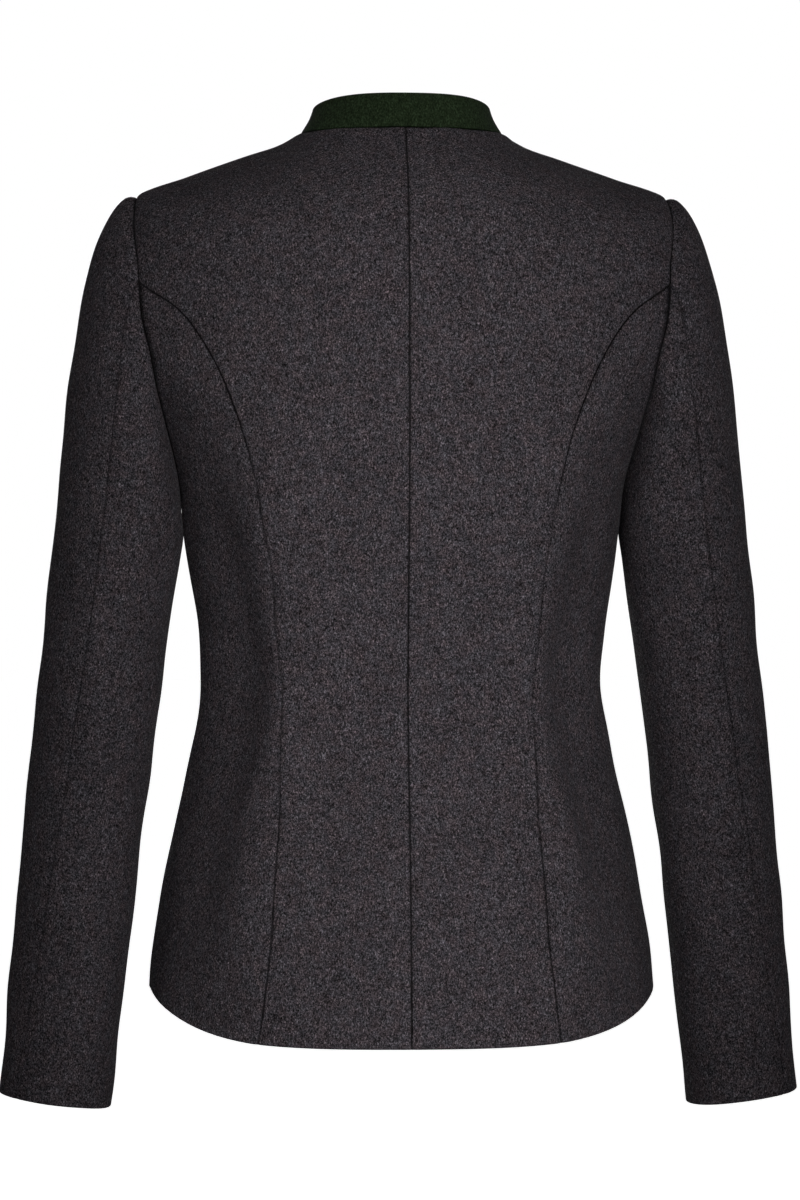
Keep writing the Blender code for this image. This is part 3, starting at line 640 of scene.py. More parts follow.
def folded(folds, across, height, radians_length):
    """How far the folds lift the cloth at places of a chart."""
    lift = np.zeros(across.shape)
    for fold in folds:
        start = np.array([math.radians(fold.around) * radians_length, fold.height])
        end = np.array([math.radians(fold.last_around) * radians_length, fold.last_height])
        run = end - start
        length = np.linalg.norm(run)
        direction = run / length
        from_x = across - start[0]
        from_z = height - start[1]
        along = (from_x * direction[0] + from_z * direction[1]) / length
        aside = from_z * direction[0] - from_x * direction[1]
        aside = aside + FOLD_BEND * length * (along - 0.5) ** 2
        taper = eased((along + 0.15) / 0.4) * eased((1.15 - along) / 0.5)
        lift += fold.depth * np.exp(-((aside / fold.width) ** 2)) * taper
    return lift


def rippled(across, height):
    """The cloth's slight unevenness."""
    lift = np.zeros(across.shape)
    for ripple in RIPPLES:
        wave = across / ripple.around_length + height / ripple.height_length
        lift += ripple.size * np.sin(2.0 * math.pi * wave + ripple.phase)
    return lift


def stations(edges, width, spacing):
    """Stations across a panel: close together at its ends, evenly spaced between."""
    count = sum(steps for _, steps in edges)
    per_metre = count / width
    near = np.array(EDGE_STEPS) * per_metre * min(1.0, EDGE_SHARE * width / EDGE_STEPS[-1])
    corners = []
    start = 0
    for _, steps in edges[:-1]:
        start += steps
        corners.append(float(start))
    first = near[-1]
    last = count - near[-1]
    stops = [first] + [c for c in corners if first < c < last] + [last]
    middle = []
    for low, high in zip(stops, stops[1:]):
        steps = max(2, round((high - low) / per_metre / spacing))
        middle.extend(np.linspace(low, high, steps, endpoint=False))
    return np.concatenate([near[:-1], middle, count - near[::-1]])


def patch(panel, column, row):
    """Turns and levels over a panel at its columns and rows."""
    bottom, low_share = on_edge(panel.bottom, column)
    top, high_share = on_edge(panel.top, column)
    left, left_share = on_edge(panel.left, row)
    right, right_share = on_edge(panel.right, row)
    u = ((low_share + high_share) / 2.0)[None, :, None]
    v = ((left_share + right_share) / 2.0)[:, None, None]
    straight = left[:, None] + (right - left)[:, None] * u
    low_bend = bottom[None] - (bottom[0] + (bottom[-1] - bottom[0]) * u)
    high_bend = top[None] - (top[0] + (top[-1] - top[0]) * u)
    places = straight + low_bend * (1.0 - v) ** BEND_FADE + high_bend * v ** BEND_FADE
    return places[..., 0], places[..., 1]


def directions_out(point_at, turn, level):
    """The directions out of the form, from the form around each place."""
    step_turn, step_level = SLEEVE_STEPS if point_at is sleeve_point else BODY_STEPS
    low = np.maximum(0.0, level - step_level)
    high = np.minimum(TOP_LEVELS[point_at], level + step_level)
    round_form = point_at(turn + step_turn, level) - point_at(turn - step_turn, level)
    up_form = point_at(turn, high) - point_at(turn, low)
    return unit(np.cross(up_form, round_form))


def turned_toward(out, place, line, line_out):
    """Directions out that turn to those of a shared seam as they near it."""
    gap = np.linalg.norm(place[..., None, :] - line, axis=-1)
    nearest = gap.argmin(-1)
    weight = np.exp(-((gap.min(-1) / SHARED_WIDTH) ** 2))[..., None]
    return unit(out * (1.0 - weight) + line_out[nearest] * weight)


def shared_line(first_at, first_places, second_at, second_places):
    """A line two forms share, and the directions midway between theirs."""
    out = directions_out(first_at, *first_places)
    out = out + directions_out(second_at, *second_places)
    return first_at(*first_places), unit(out)


TOP_LEVELS = {body_point: NECKLINE, sleeve_point: CUFF, collar_point: COLLAR_TOP}
NECK_TURNS = np.linspace(-180.0, 180.0, 2 * DEGREE_STEPS - 1)
ARMHOLE_LINE = shared_line(
    body_point, armhole_at(ARMHOLE_ANGLES), sleeve_point, (ARMHOLE_ANGLES, 0.0 * ARMHOLE_ANGLES)
)
NECK_LINE = shared_line(
    body_point, (NECK_TURNS, np.full(len(NECK_TURNS), float(NECKLINE))),
    collar_point, (NECK_TURNS, 0.0 * NECK_TURNS),
)


def from_edges(place):
    """Distances of a grid's points from its left, right, bottom and top edges.

    The last two results are the same distances along the grid, from the left and bottom.
    """
    across = np.linalg.norm(np.diff(place, axis=1), axis=2)
    upward = np.linalg.norm(np.diff(place, axis=0), axis=2)
    from_left = np.pad(np.cumsum(across, axis=1), ((0, 0), (1, 0)))
    from_bottom = np.pad(np.cumsum(upward, axis=0), ((1, 0), (0, 0)))
    up = np.gradient(place, axis=0)
    over = np.gradient(place, axis=1)

    def squareness(along_edge, edge, inside):
        """How nearly the grid's lines meet an edge at a right angle."""
        return np.linalg.norm(np.cross(unit(along_edge), unit(inside - edge)), axis=-1)

    near, far = NEAR_ROWS, -1 - NEAR_ROWS
    left = squareness(up[:, 0], place[:, 0], place[:, near])[:, None]
    right = squareness(up[:, -1], place[:, -1], place[:, far])[:, None]
    bottom = squareness(over[0], place[0], place[near])[None]
    top = squareness(over[-1], place[-1], place[far])[None]
    distances = (
        from_left * left, (from_left[:, -1:] - from_left) * right,
        from_bottom * bottom, (from_bottom[-1:] - from_bottom) * top,
    )
    return distances, from_left, from_bottom


def finished_edges(distances, kinds, thickness, height):
    """What the edges do: how far the cloth is sunk, its thickness and its roundness.

    The last result is the painted shade that darkens the colour along seams' shadow lines.
    """
    # seam is the painted shade: below 1 where the edges' shadow lines darken the colour.
    seam = np.ones(distances[0].shape)
    sunk = np.zeros(distances[0].shape)
    layers = np.full(distances[0].shape, thickness)
    roundness = np.ones(distances[0].shape)
    for distance, name in zip(distances, kinds):
        kind = EDGE_KINDS[name]
        sunk -= kind.sink * np.exp(-((distance / kind.sink_width) ** 2))
        ridge = eased(distance / RIDGE_RISE) * (1.0 - eased((distance - RIDGE_END) / RIDGE_FALL))
        sunk += kind.ridge * ridge
        layers += kind.layer * (1.0 - eased((distance - kind.strip) / LAYER_FALL))
        short = np.clip(1.0 - distance / kind.radius, 0.0, 1.0)
        roundness = np.minimum(roundness, np.sqrt(1.0 - short ** 2))
        reach = LINE_REACH
        # Above the underarm the side panels' shadow line widens: a painted contact shadow of the
        # sleeve.
        if name == "side":
            reach = LINE_REACH + PAINTED_CREASE_REACH * eased((height - UNDERARM_Z) / PAINTED_CREASE_RISE)
        # The painted shadow line beside this edge, darkest at the edge itself.
        line = kind.line * (1.0 - eased((distance - LINE_FULL) / reach))
        if name == "princess":
            soft = eased((PRINCESS_STRONG_Z - height) / PRINCESS_STRONG_FALL)
            low = eased((PRINCESS_WAIST_Z - height) / PRINCESS_WAIST_FALL)
            soft *= 1.0 - PRINCESS_RECOVERY * low
            line = line * (1.0 - PRINCESS_FADE * soft)
        seam *= 1.0 - line
        if name == "open":
            turned_up = eased((distance - FACING) / FACING_FADE)
            layers = thickness + (layers - thickness) * turned_up
    return sunk, layers, roundness, seam


def quads_of(grid):
    """The quads between a grid's points, by their numbers."""
    corners = [grid[:-1, :-1], grid[:-1, 1:], grid[1:, 1:], grid[1:, :-1]]
    return np.stack(corners, -1).reshape(-1, 4)


def enclosed(points, faces):
    """The volume inside quads, which is below 0 where they face inwards."""
    a, b, c, d = np.moveaxis(points[faces], 1, 0)
    return (a * (np.cross(b, c) + np.cross(c, d))).sum() / 6.0


def shell_mesh(name, grids, uv, seam, side):
    """A closed shell: an outer and an inner grid that share their border."""
    rows, columns = seam.shape
    index = np.arange(seam.size).reshape(rows, columns)
    inner_index = index.copy()
    inside = np.arange((rows - 2) * (columns - 2)).reshape(rows - 2, columns - 2)
    inner_index[1:-1, 1:-1] = seam.size + inside

    def both(outer, inner):
        """Values for the outer grid's points, and then for the inner grid's own ones."""
        width = outer.shape[2:]
        return np.concatenate([outer.reshape(-1, *width), inner[1:-1, 1:-1].reshape(-1, *width)])

    points = both(*grids)
    points[:, 0] *= side
    faces = np.concatenate([quads_of(index), quads_of(inner_index)[:, ::-1]])
    if side < 0:
        faces = faces[:, ::-1]
    if enclosed(points, faces) < 0.0:
        faces = faces[:, [0, 3, 2, 1]]
    mesh = bpy.data.meshes.new(name)
    mesh.from_pydata(points.tolist(), [], faces.tolist())
    mesh.validate()
    layer = mesh.uv_layers.new(name="cloth")
    layer.data.foreach_set("uv", both(uv, uv)[faces.ravel()].astype(np.float32).ravel())
    # The painted shade along the seams, which the materials multiply into the colour.
    shade = mesh.attributes.new("painted_seam_shade", "FLOAT", "POINT")
    shade.data.foreach_set("value", both(seam, seam).astype(np.float32))
    mesh.shade_smooth()
    return mesh


def cloth_shell(name, panel, side, thickness, relief_at, spacing):
    """The mesh of one piece of cloth, its flat area, and its greatest width and length."""

    def middle_length(first, second):
        return sum(run.length for run, _ in first + second) / 2.0

    def finer(first, second):
        return first if len(first) > len(second) else second

    width = middle_length(panel.bottom, panel.top)
    height = middle_length(panel.left, panel.right)
    column = stations(finer(panel.bottom, panel.top), width, spacing[0])
    row = stations(finer(panel.right, panel.left), height, spacing[1])
    turn, level = patch(panel, column, row)
    place = panel.point_at(turn, level)
    out = directions_out(panel.point_at, turn, level)
    for line in panel.shared:
        out = turned_toward(out, place, *line)
    distances, cloth_u, cloth_v = from_edges(place)
    # seam is the painted shade along the shadow lines of the panel's edges.
    sunk, layers, roundness, seam = finished_edges(
        distances, panel.kinds, thickness, place[..., 2]
    )
    middle = relief_at(turn, place, distances, side) + sunk - layers / 2.0
    half = layers / 2.0 * roundness
    grids = [place + out * (middle + lift)[..., None] for lift in (half, -half)]
    mesh = shell_mesh(name, grids, np.stack([cloth_u, cloth_v], -1), seam, side)
    quads = np.cross(place[1:, 1:] - place[:-1, :-1], place[1:, :-1] - place[:-1, 1:])
    area = np.linalg.norm(quads, axis=-1).sum() / 2.0
    return mesh, float(area), (float(cloth_u[:, -1].max()), float(cloth_v[-1].max()))


def body_relief(turn, place, distances, side):
    """The body's folds, which aren't mirrored, and its ripples."""
    across = np.radians(turn) * AROUND_BODY * side
    return folded(BODY_FOLDS, across, place[..., 2], AROUND_BODY) + rippled(across, place[..., 2])


def front_relief(turn, place, distances, side):
    """The wearer's right front lies on the left one."""
    lift = body_relief(turn, place, distances, side)
    if side < 0:
        behind = place[..., 0] - LAP - LAP_CLEAR
        lift = lift + (SOLID_CLOTH + LAP_GAP) * (1.0 - eased(behind / LAP_RISE))
    return lift


def sleeve_relief(turn, place, distances, side):
    """The sleeve's folds and ripples, and its eased head."""
    across = np.radians(turn) * AROUND_SLEEVE
    lift = folded(SLEEVE_FOLDS, across, place[..., 2], AROUND_SLEEVE)
    lift += rippled(across * side + SLEEVE_RIPPLE_SHIFT, place[..., 2])
    from_head = distances[2]
    upper = eased((np.cos(np.radians(turn)) + 0.35) / 0.9)
    fall = eased((from_head - ROPING_FROM) / (ROPING_TO - ROPING_FROM))
    roll = eased(from_head / ROPING_FROM) * (1.0 - fall)
    return lift + ROPING * upper * roll


def collar_relief(turn, place, distances, side):
    """The collar's ripples, which are low."""
    return rippled(np.radians(turn) * AROUND_COLLAR, place[..., 2]) * COLLAR_RIPPLE


# ---------------------------------------------------------------------- materials
class Wire:
    """A shader socket whose sums, differences, products and powers are Math nodes."""

    def __init__(self, board, socket):
        self.board = board
        self.socket = socket

    def __add__(self, other):
        return self.board.maths("ADD", self, other)

    def __radd__(self, other):
        return self.board.maths("ADD", other, self)

    def __sub__(self, other):
        return self.board.maths("SUBTRACT", self, other)

    def __rsub__(self, other):
        return self.board.maths("SUBTRACT", other, self)

    def __mul__(self, other):
        return self.board.maths("MULTIPLY", self, other)

    def __rmul__(self, other):
        return self.board.maths("MULTIPLY", other, self)

    def __pow__(self, other):
        return self.board.maths("POWER", self, other)

    def __rpow__(self, other):
        return self.board.maths("POWER", other, self)


class Board:
    """The node tree of one material."""

    def __init__(self, name):
        self.material = bpy.data.materials.new(name)
        self.material.use_nodes = True
        self.tree = self.material.node_tree
        self.shader = self.tree.nodes["Principled BSDF"]

    def join(self, value, socket):
        """Links a socket to a wire, or gives it a value."""
        if isinstance(value, Wire):
            self.tree.links.new(value.socket, socket)
        else:
            socket.default_value = value

    def add(self, kind, settings, sockets, output=0):
        """One output of a new node, which has its settings before its sockets' values."""
        node = self.tree.nodes.new(kind)
        for key, value in settings.items():
            setattr(node, key, value)
        for key, value in sockets.items():
            self.join(value, node.inputs[key])
        return Wire(self, node.outputs[output])

    def maths(self, operation, *values):
        """The result of a Math node."""
        return self.add("ShaderNodeMath", {"operation": operation}, dict(enumerate(values)))

    def object_places(self):
        """Places on the object, which move with it."""
        return self.add("ShaderNodeTexCoord", {}, {}, "Object")

    def painted_seam_shade(self):
        """The painted shade along the seams, a factor on the colour."""
        return self.add("ShaderNodeAttribute", {"attribute_name": "painted_seam_shade"}, {}, "Fac")

    def mix(self, factor, first, second):
        """A colour between two colours."""
        sockets = {0: factor, 6: first, 7: second}
        return self.add("ShaderNodeMix", {"data_type": "RGBA"}, sockets, 2)

    def scaled(self, colour, amount):
        """A colour made lighter or darker by an amount that varies."""
        grey = self.add("ShaderNodeCombineXYZ", {}, {0: amount, 1: amount, 2: amount})
        return self.add("ShaderNodeVectorMath", {"operation": "MULTIPLY"}, {0: colour, 1: grey})

    def noise(self, where, scale, detail=2.0, roughness=0.5):
        """A soft random pattern, about 0.5."""
        sockets = {"Vector": where, "Scale": scale, "Detail": detail, "Roughness": roughness}
        return self.add("ShaderNodeTexNoise", {}, sockets)

    def share(self, value, start, end):
        """How far a value has come from a start to an end, from 0 to 1."""
        return self.add("ShaderNodeMapRange", {}, {0: value, 1: start, 2: end, 3: 0.0, 4: 1.0})

    def stretched(self, where, degrees, upward):
        """Places turned in the wearer's upright plane, and then scaled upward."""
        turn = (0.0, math.radians(degrees), 0.0)
        sockets = {"Vector": where, "Rotation": turn, "Scale": (1.0, 1.0, upward)}
        return self.add("ShaderNodeMapping", {}, sockets)

    def uniform(self, values):
        """Sets what is the same all over the surface."""
        for key, value in values.items():
            self.shader.inputs[key].default_value = value

    def finish(self, colour, roughness, height, distance, strength):
        """The material with its colour, roughness and bump."""
        sockets = {"Strength": strength, "Distance": distance, "Height": height}
        self.join(colour, self.shader.inputs["Base Color"])
        self.join(roughness, self.shader.inputs["Roughness"])
        self.join(self.add("ShaderNodeBump", {}, sockets), self.shader.inputs["Normal"])
        return self.material


def opaque(colour):
    """A colour with its alpha."""
    return (*colour, 1.0)


def spread(noise, gain):
    """A noise made stronger about its middle value."""
    return (noise - 0.5) * gain


def loden_material(colours):
    """Milled wool in a heather: fine light and dark fibres over a charcoal ground."""
    board = Board("loden_heather")
    cloth = board.object_places()
    fibres = board.noise(board.stretched(cloth, 38.0, 0.62), 1060.0, 3.0, 0.65)
    cross_fibres = board.noise(board.stretched(cloth, -35.0, 0.62), 1000.0, 3.0, 0.65)
    grit = board.noise(cloth, 1400.0, 2.0, 0.6)
    blotches = board.noise(cloth, 300.0)
    drift = board.noise(cloth, 40.0)
    contrast = colours.fleck_contrast
    light = spread(fibres, 5.8 * contrast) + spread(cross_fibres, 5.4 * contrast)
    light = light + spread(grit, 5.8 * contrast) + spread(blotches, 1.7) + spread(drift, 0.4)
    # The heather's brightness, darkened by the painted shade along the seams.
    amount = board.maths("MAXIMUM", light * 0.25 + 1.0, 0.3) ** 4.0 * board.painted_seam_shade()
    tint = board.noise(cloth, 140.0)
    warm = board.share(tint, 0.45, 0.80)
    cool = board.share(tint, 0.55, 0.20)
    ground = board.mix(warm, opaque(colours.loden), opaque(colours.russet))
    ground = board.mix(cool, ground, opaque(colours.slate))
    height = fibres * 0.6 + cross_fibres * 0.6 + grit * 0.4
    board.uniform({"Specular IOR Level": 0.06, "Sheen Weight": 0.012, "Sheen Roughness": 0.35})
    return board.finish(board.scaled(ground, amount), 0.95, height, 0.0007, 0.6)


def felt_material(colours):
    """Dark green felted wool: fine, close and almost even."""
    board = Board("green_felt")
    cloth = board.object_places()
    fibres = board.noise(board.stretched(cloth, 35.0, 0.6), 1000.0, 3.0, 0.65)
    patches = board.noise(cloth, 240.0)
    light = spread(fibres, 5.0) + spread(patches, 0.8)
    # The felt's brightness, darkened by the painted shade along its seams.
    amount = board.maths("EXPONENT", light) * board.painted_seam_shade()
    tone = board.mix(patches, opaque(colours.felt), opaque(colours.felt_light))
    board.uniform({"Specular IOR Level": 0.06, "Sheen Weight": 0.012})
    return board.finish(board.scaled(tone, amount), 0.95, fibres, 0.0005, 0.5)


def horn_material(colours):
    """Dark polished horn with soft brown streaks."""
    board = Board("dark_horn")
    place = board.object_places()
    streaks = board.noise(board.stretched(place, 20.0, 0.25), 420.0, 3.0, 0.6)
    clouds = board.noise(place, 130.0)
    share = board.share(streaks * 0.6 + clouds * 0.4, 0.40, 0.64)
    colour = board.mix(share, opaque(colours.horn), opaque(colours.horn_light))
    return board.finish(colour, clouds * 0.2 + 0.25, streaks, 0.0001, 0.3)


def thread_material(colours):
    """Dark twisted thread."""
    board = Board("dark_thread")
    twist = board.noise(board.stretched(board.object_places(), 45.0, 0.3), 2600.0)
    colour = board.scaled(tuple(colours.thread), twist * 1.2 + 0.4)
    return board.finish(colour, 0.8, twist, 0.0003, 0.8)


# -------------------------------------------------------------------- the add-on
COLOUR = {"subtype": "COLOR", "size": 3, "min": 0.0, "max": 1.0}


class JacketColours(bpy.types.PropertyGroup):
    """The colours of the cloth, the collar and the buttons"""

    loden: bpy.props.FloatVectorProperty(
        name="Loden", description="Ground colour of the heather",
        default=(0.0377, 0.0327, 0.0370), **COLOUR,
    )
    russet: bpy.props.FloatVectorProperty(
        name="Russet fibres", description="Warm fibres of the heather",
        default=(0.0414, 0.0325, 0.0352), **COLOUR,
    )
    slate: bpy.props.FloatVectorProperty(
        name="Slate fibres", description="Cool fibres of the heather",
        default=(0.0349, 0.0335, 0.0386), **COLOUR,
    )
    felt: bpy.props.FloatVectorProperty(
        name="Collar felt", description="Dark green of the collar",
        default=(0.0110, 0.0178, 0.0080), **COLOUR,
    )
    felt_light: bpy.props.FloatVectorProperty(
        name="Collar felt, lighter", description="Lighter green of the collar",
        default=(0.0144, 0.0222, 0.0108), **COLOUR,
    )
    horn: bpy.props.FloatVectorProperty(
        name="Horn", description="Dark ground of the buttons",
        default=(0.022, 0.014, 0.009), **COLOUR,
    )
    horn_light: bpy.props.FloatVectorProperty(
        name="Horn, lighter", description="Brown streaks of the buttons",
        default=(0.085, 0.048, 0.026), **COLOUR,
    )
    thread: bpy.props.FloatVectorProperty(
        name="Thread", description="Buttonholes and button threads",
        default=(0.016, 0.020, 0.015), **COLOUR,
    )
    fleck_contrast: bpy.props.FloatProperty(
        name="Fleck contrast", description="How strongly the heather's fibres differ",
        subtype="FACTOR", default=1.0, min=0.0, max=3.0,
    )


class JacketSizes(bpy.types.PropertyGroup):
    """The thickness of the cloth and the fineness of its mesh"""

    cloth: bpy.props.FloatProperty(
        name="Cloth", description="Thickness of the loden",
        unit="LENGTH", default=0.0022, min=0.001, max=0.004,
    )
    felt: bpy.props.FloatProperty(
        name="Felt", description="Thickness of the collar felt",
        unit="LENGTH", default=0.0028, min=0.001, max=0.005,
    )
    across: bpy.props.FloatProperty(
        name="Mesh across", description="Spacing of the cloth's mesh across a panel",
        unit="LENGTH", default=0.005, min=0.001, max=0.02,
    )
    upward: bpy.props.FloatProperty(
        name="Mesh upward", description="Spacing of the cloth's mesh up a panel",
        unit="LENGTH", default=0.0035, min=0.001, max=0.02,
    )
    collar_mesh: bpy.props.FloatProperty(
        name="Collar mesh", description="Spacing of the collar's mesh both ways",
        unit="LENGTH", default=0.0025, min=0.001, max=0.01,
    )


class StudioSettings(bpy.types.PropertyGroup):
    """The camera's place and the lights' power"""

    distance: bpy.props.FloatProperty(
        name="Camera distance", description="From the middle of the jacket",
        unit="LENGTH", default=3.0,
    )
    turn: bpy.props.FloatProperty(
        name="Camera turn", description="How far the camera stands to the wearer's left",
        subtype="ANGLE", default=math.radians(3.0),
    )
    height: bpy.props.FloatProperty(
        name="Camera height", description="Height of the level camera",
        unit="LENGTH", default=-0.328,
    )
    framed: bpy.props.FloatProperty(
        name="Framed height", description="Height of the picture at the jacket",
        unit="LENGTH", default=0.846,
    )
    floor: bpy.props.FloatProperty(
        name="Floor", description="Height of the floor", unit="LENGTH", default=-0.95,
    )
    key: bpy.props.FloatProperty(
        name="Key", description="Power of the key light", unit="POWER", default=1.56,
    )
    fill: bpy.props.FloatProperty(
        name="Fill", description="Power of the backdrop, which the side lights follow",
        unit="POWER", default=14.0,
    )


def linked(name, data, material=None):
    """A new object in the scene: a mesh, a light or a camera."""
    if material:
        data.materials.append(material)
    made = bpy.data.objects.new(name, data)
    bpy.context.scene.collection.objects.link(made)
    return made


def selected(made):
    """Selects one object alone and makes it active."""
    bpy.ops.object.select_all(action="DESELECT")
    made.select_set(True)
    bpy.context.view_layer.objects.active = made


def cloth_piece(node, panel, side, thickness, relief_at, material, spacing):
    """The sheet of cloth that stands for a CAD node."""
    name = node + "_cloth"
    mesh, area, size = cloth_shell(name, panel, side, thickness, relief_at, spacing)
    made = linked(name, mesh, material)
    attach(made, "root")
    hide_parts(node)


def shared_material(name, maker):
    """A material, which is made when it is first asked for."""
    return bpy.data.materials.get(name) or maker(bpy.context.scene.jacket_colours)


def both_sides(sizes, name, panel, relief_at):
    """A panel of loden for the wearer's left, and its like for the right."""
    loden = shared_material("loden_heather", loden_material)
    spacing = (sizes.across, sizes.upward)
    for word, side in (("left", 1), ("right", -1)):
        cloth_piece(
            f"{name}_{word}", panel, side, sizes.cloth, relief_at, loden, spacing
        )


class JACKET_OT_body(bpy.types.Operator):
    """Make the back, side and front panels"""

    bl_idname = "jacket.body"
    bl_label = "Body panels"

    def execute(self, context):
        for name, panel in body_panels().items():
            relief_at = front_relief if name == "front" else body_relief
            both_sides(context.scene.jacket_sizes, name, panel, relief_at)
        return {"FINISHED"}


class JACKET_OT_sleeves(bpy.types.Operator):
    """Make the two-piece sleeves"""

    bl_idname = "jacket.sleeves"
    bl_label = "Sleeves"

    def execute(self, context):
        for name, panel in sleeve_panels().items():
            both_sides(context.scene.jacket_sizes, name, panel, sleeve_relief)
        return {"FINISHED"}


class JACKET_OT_collar(bpy.types.Operator):
    """Make the stand collar"""

    bl_idname = "jacket.collar"
    bl_label = "Collar"

    def execute(self, context):
        sizes = context.scene.jacket_sizes
        felt = shared_material("green_felt", felt_material)
        spacing = (sizes.collar_mesh, sizes.collar_mesh)
        cloth_piece("collar", collar_panel(), 1, sizes.felt, collar_relief, felt, spacing)
        return {"FINISHED"}


def front_place(x, z):
    """A place on the face of the right front's lap, and the direction out of it."""
    turn, level = place_at(140.0, 180.0, z, 0, np.abs(x))
    place = body_point(turn, level)
    out = directions_out(body_point, turn, level)
    place[..., 0] *= np.sign(x)
    out[..., 0] *= np.sign(x)
    return place + out * (SOLID_CLOTH + LAP_GAP), out


def picked_face(top):
    """Selects the face of the edited mesh that lies highest, or lowest."""
    bpy.ops.mesh.select_all(action="DESELECT")
    edited = bmesh.from_edit_mesh(bpy.context.object.data)
    faces = sorted(edited.faces, key=lambda face: face.calc_center_median().z)
    faces[-1 if top else 0].select = True
    bmesh.update_edit_mesh(bpy.context.object.data)


def cylinder(name, radius, depth, place, vertices, rotation=(0.0, 0.0, 0.0)):
    """A cylinder, with its place and turn in its mesh."""
    bpy.ops.object.select_all(action="DESELECT")
    bpy.ops.mesh.primitive_cylinder_add(
        vertices=vertices, radius=radius, depth=depth, location=place, rotation=rotation
    )
    made = bpy.context.object
    made.name = name
    bpy.ops.object.transform_apply(location=True, rotation=True, scale=True)
    return made


def applied(made, kind, **settings):
    """Adds a modifier and applies it."""
    modifier = made.modifiers.new(kind.title(), kind)
    for key, value in settings.items():
        setattr(modifier, key, value)
    bpy.context.view_layer.objects.active = made
    bpy.ops.object.modifier_apply(modifier=modifier.name)


def finished_model(model, degrees, material):
    """Smooths a model, except at edges sharper than an angle, and gives it its material."""
    selected(model)
    bpy.ops.object.shade_smooth_by_angle(angle=math.radians(degrees))
    model.data.materials.clear()
    model.data.materials.append(material)
    return model


def button_disc(material):
    """A turned disc lying on Z = 0: a raised rim round a dish with four holes."""
    middle = (0.0, 0.0, BUTTON_THICKNESS / 2.0)
    disc = cylinder("disc_model", BUTTON_RADIUS, BUTTON_THICKNESS, middle, 64)
    bpy.ops.object.mode_set(mode="EDIT")
    bpy.ops.mesh.select_mode(type="FACE")
    picked_face(True)
    bpy.ops.mesh.inset(thickness=RIM_WIDTH)
    bpy.ops.mesh.inset(thickness=DISH_SLOPE)
    bpy.ops.transform.translate(value=(0.0, 0.0, -DISH_DEPTH))
    picked_face(False)
    bpy.ops.transform.resize(value=(UNDERSIDE, UNDERSIDE, 1.0))
    bpy.ops.object.mode_set(mode="OBJECT")
    applied(
        disc, "BEVEL", width=DISC_ROUNDING, segments=4, limit_method="ANGLE",
        angle_limit=math.radians(25.0),
    )
    drills = [
        cylinder("drill", HOLE_RADIUS, DRILL_LENGTH, (x, y, 0.0), 16)
        for x in (-HOLE_OFFSET, HOLE_OFFSET) for y in (-HOLE_OFFSET, HOLE_OFFSET)
    ]
    for drill in drills:
        applied(disc, "BOOLEAN", operation="DIFFERENCE", solver="EXACT", object=drill)
        bpy.data.objects.remove(drill)
    return finished_model(disc, 35.0, material)


def button_thread(material):
    """Two stitches over the dish and the thread shank under the disc."""
    parts = []
    for x in (-HOLE_OFFSET, HOLE_OFFSET):
        for turn in (-STITCH_SPACING, 0.0, STITCH_SPACING):
            place = (x + turn, 0.0, STITCH_HEIGHT)
            lying = (math.radians(90.0), 0.0, 0.0)
            parts.append(
                cylinder("stitch", STITCH_RADIUS, 2.0 * HOLE_OFFSET, place, 10, lying)
            )
    shank = cylinder("thread_model", SHANK_RADIUS, SHANK_LENGTH, (0.0, 0.0, SHANK_MIDDLE), 20)
    selected(shank)
    for part in parts:
        part.select_set(True)
    bpy.ops.object.join()
    return finished_model(shank, 40.0, material)


def sewn_on(model, name, z):
    """A copy of a model, laid on the front at a height, with its place in its mesh."""
    made = linked(name, model.data.copy())
    place, out = front_place(BUTTON_X, z)
    made.matrix_world = (
        Matrix.Translation(Vector(place) + Vector(out) * BUTTON_SHANK)
        @ Vector(out).to_track_quat("Z", "X").to_matrix().to_4x4()
    )
    selected(made)
    bpy.ops.object.transform_apply(location=True, rotation=True, scale=True)
    return made


def buttonhole(name, z, material):
    """A worked buttonhole: a closed bead of stitches laid on the front in a slit's shape."""
    middle = (BUTTONHOLE_START + BUTTONHOLE_END) / 2.0
    straight = (BUTTONHOLE_START - BUTTONHOLE_END) / 2.0 - BUTTONHOLE_HALF
    angle = np.linspace(0.0, 2.0 * math.pi, BEAD_STEPS, endpoint=False)
    across = np.cos(angle)
    x = middle + np.sign(across) * straight * np.minimum(1.0, np.abs(across) * 1.6)
    x += BUTTONHOLE_HALF * across
    x = np.where(np.abs(x) < BEAD_X, BEAD_X, x)
    place, out = front_place(x, z + BUTTONHOLE_HALF * np.clip(1.8 * np.sin(angle), -1.0, 1.0))
    aside = np.cross(unit(np.roll(place, -1, axis=0) - np.roll(place, 1, axis=0)), out)
    around = np.linspace(0.0, 2.0 * math.pi, BEAD_CORNERS, endpoint=False)[None, :, None]
    ring = aside[:, None] * np.cos(around) + out[:, None] * np.sin(around) * BEAD_FLATNESS
    points = place[:, None] + ring * BEAD
    built = bmesh.new()
    rows = [[built.verts.new(point) for point in row] for row in points]
    for row, after in zip(rows, rows[1:] + rows[:1]):
        for corner in range(BEAD_CORNERS):
            beside = (corner + 1) % BEAD_CORNERS
            built.faces.new((row[corner], row[beside], after[beside], after[corner]))
    bmesh.ops.recalc_face_normals(built, faces=built.faces)
    mesh = bpy.data.meshes.new(name)
    built.to_mesh(mesh)
    built.free()
    mesh.shade_smooth()
    return linked(name, mesh, material)


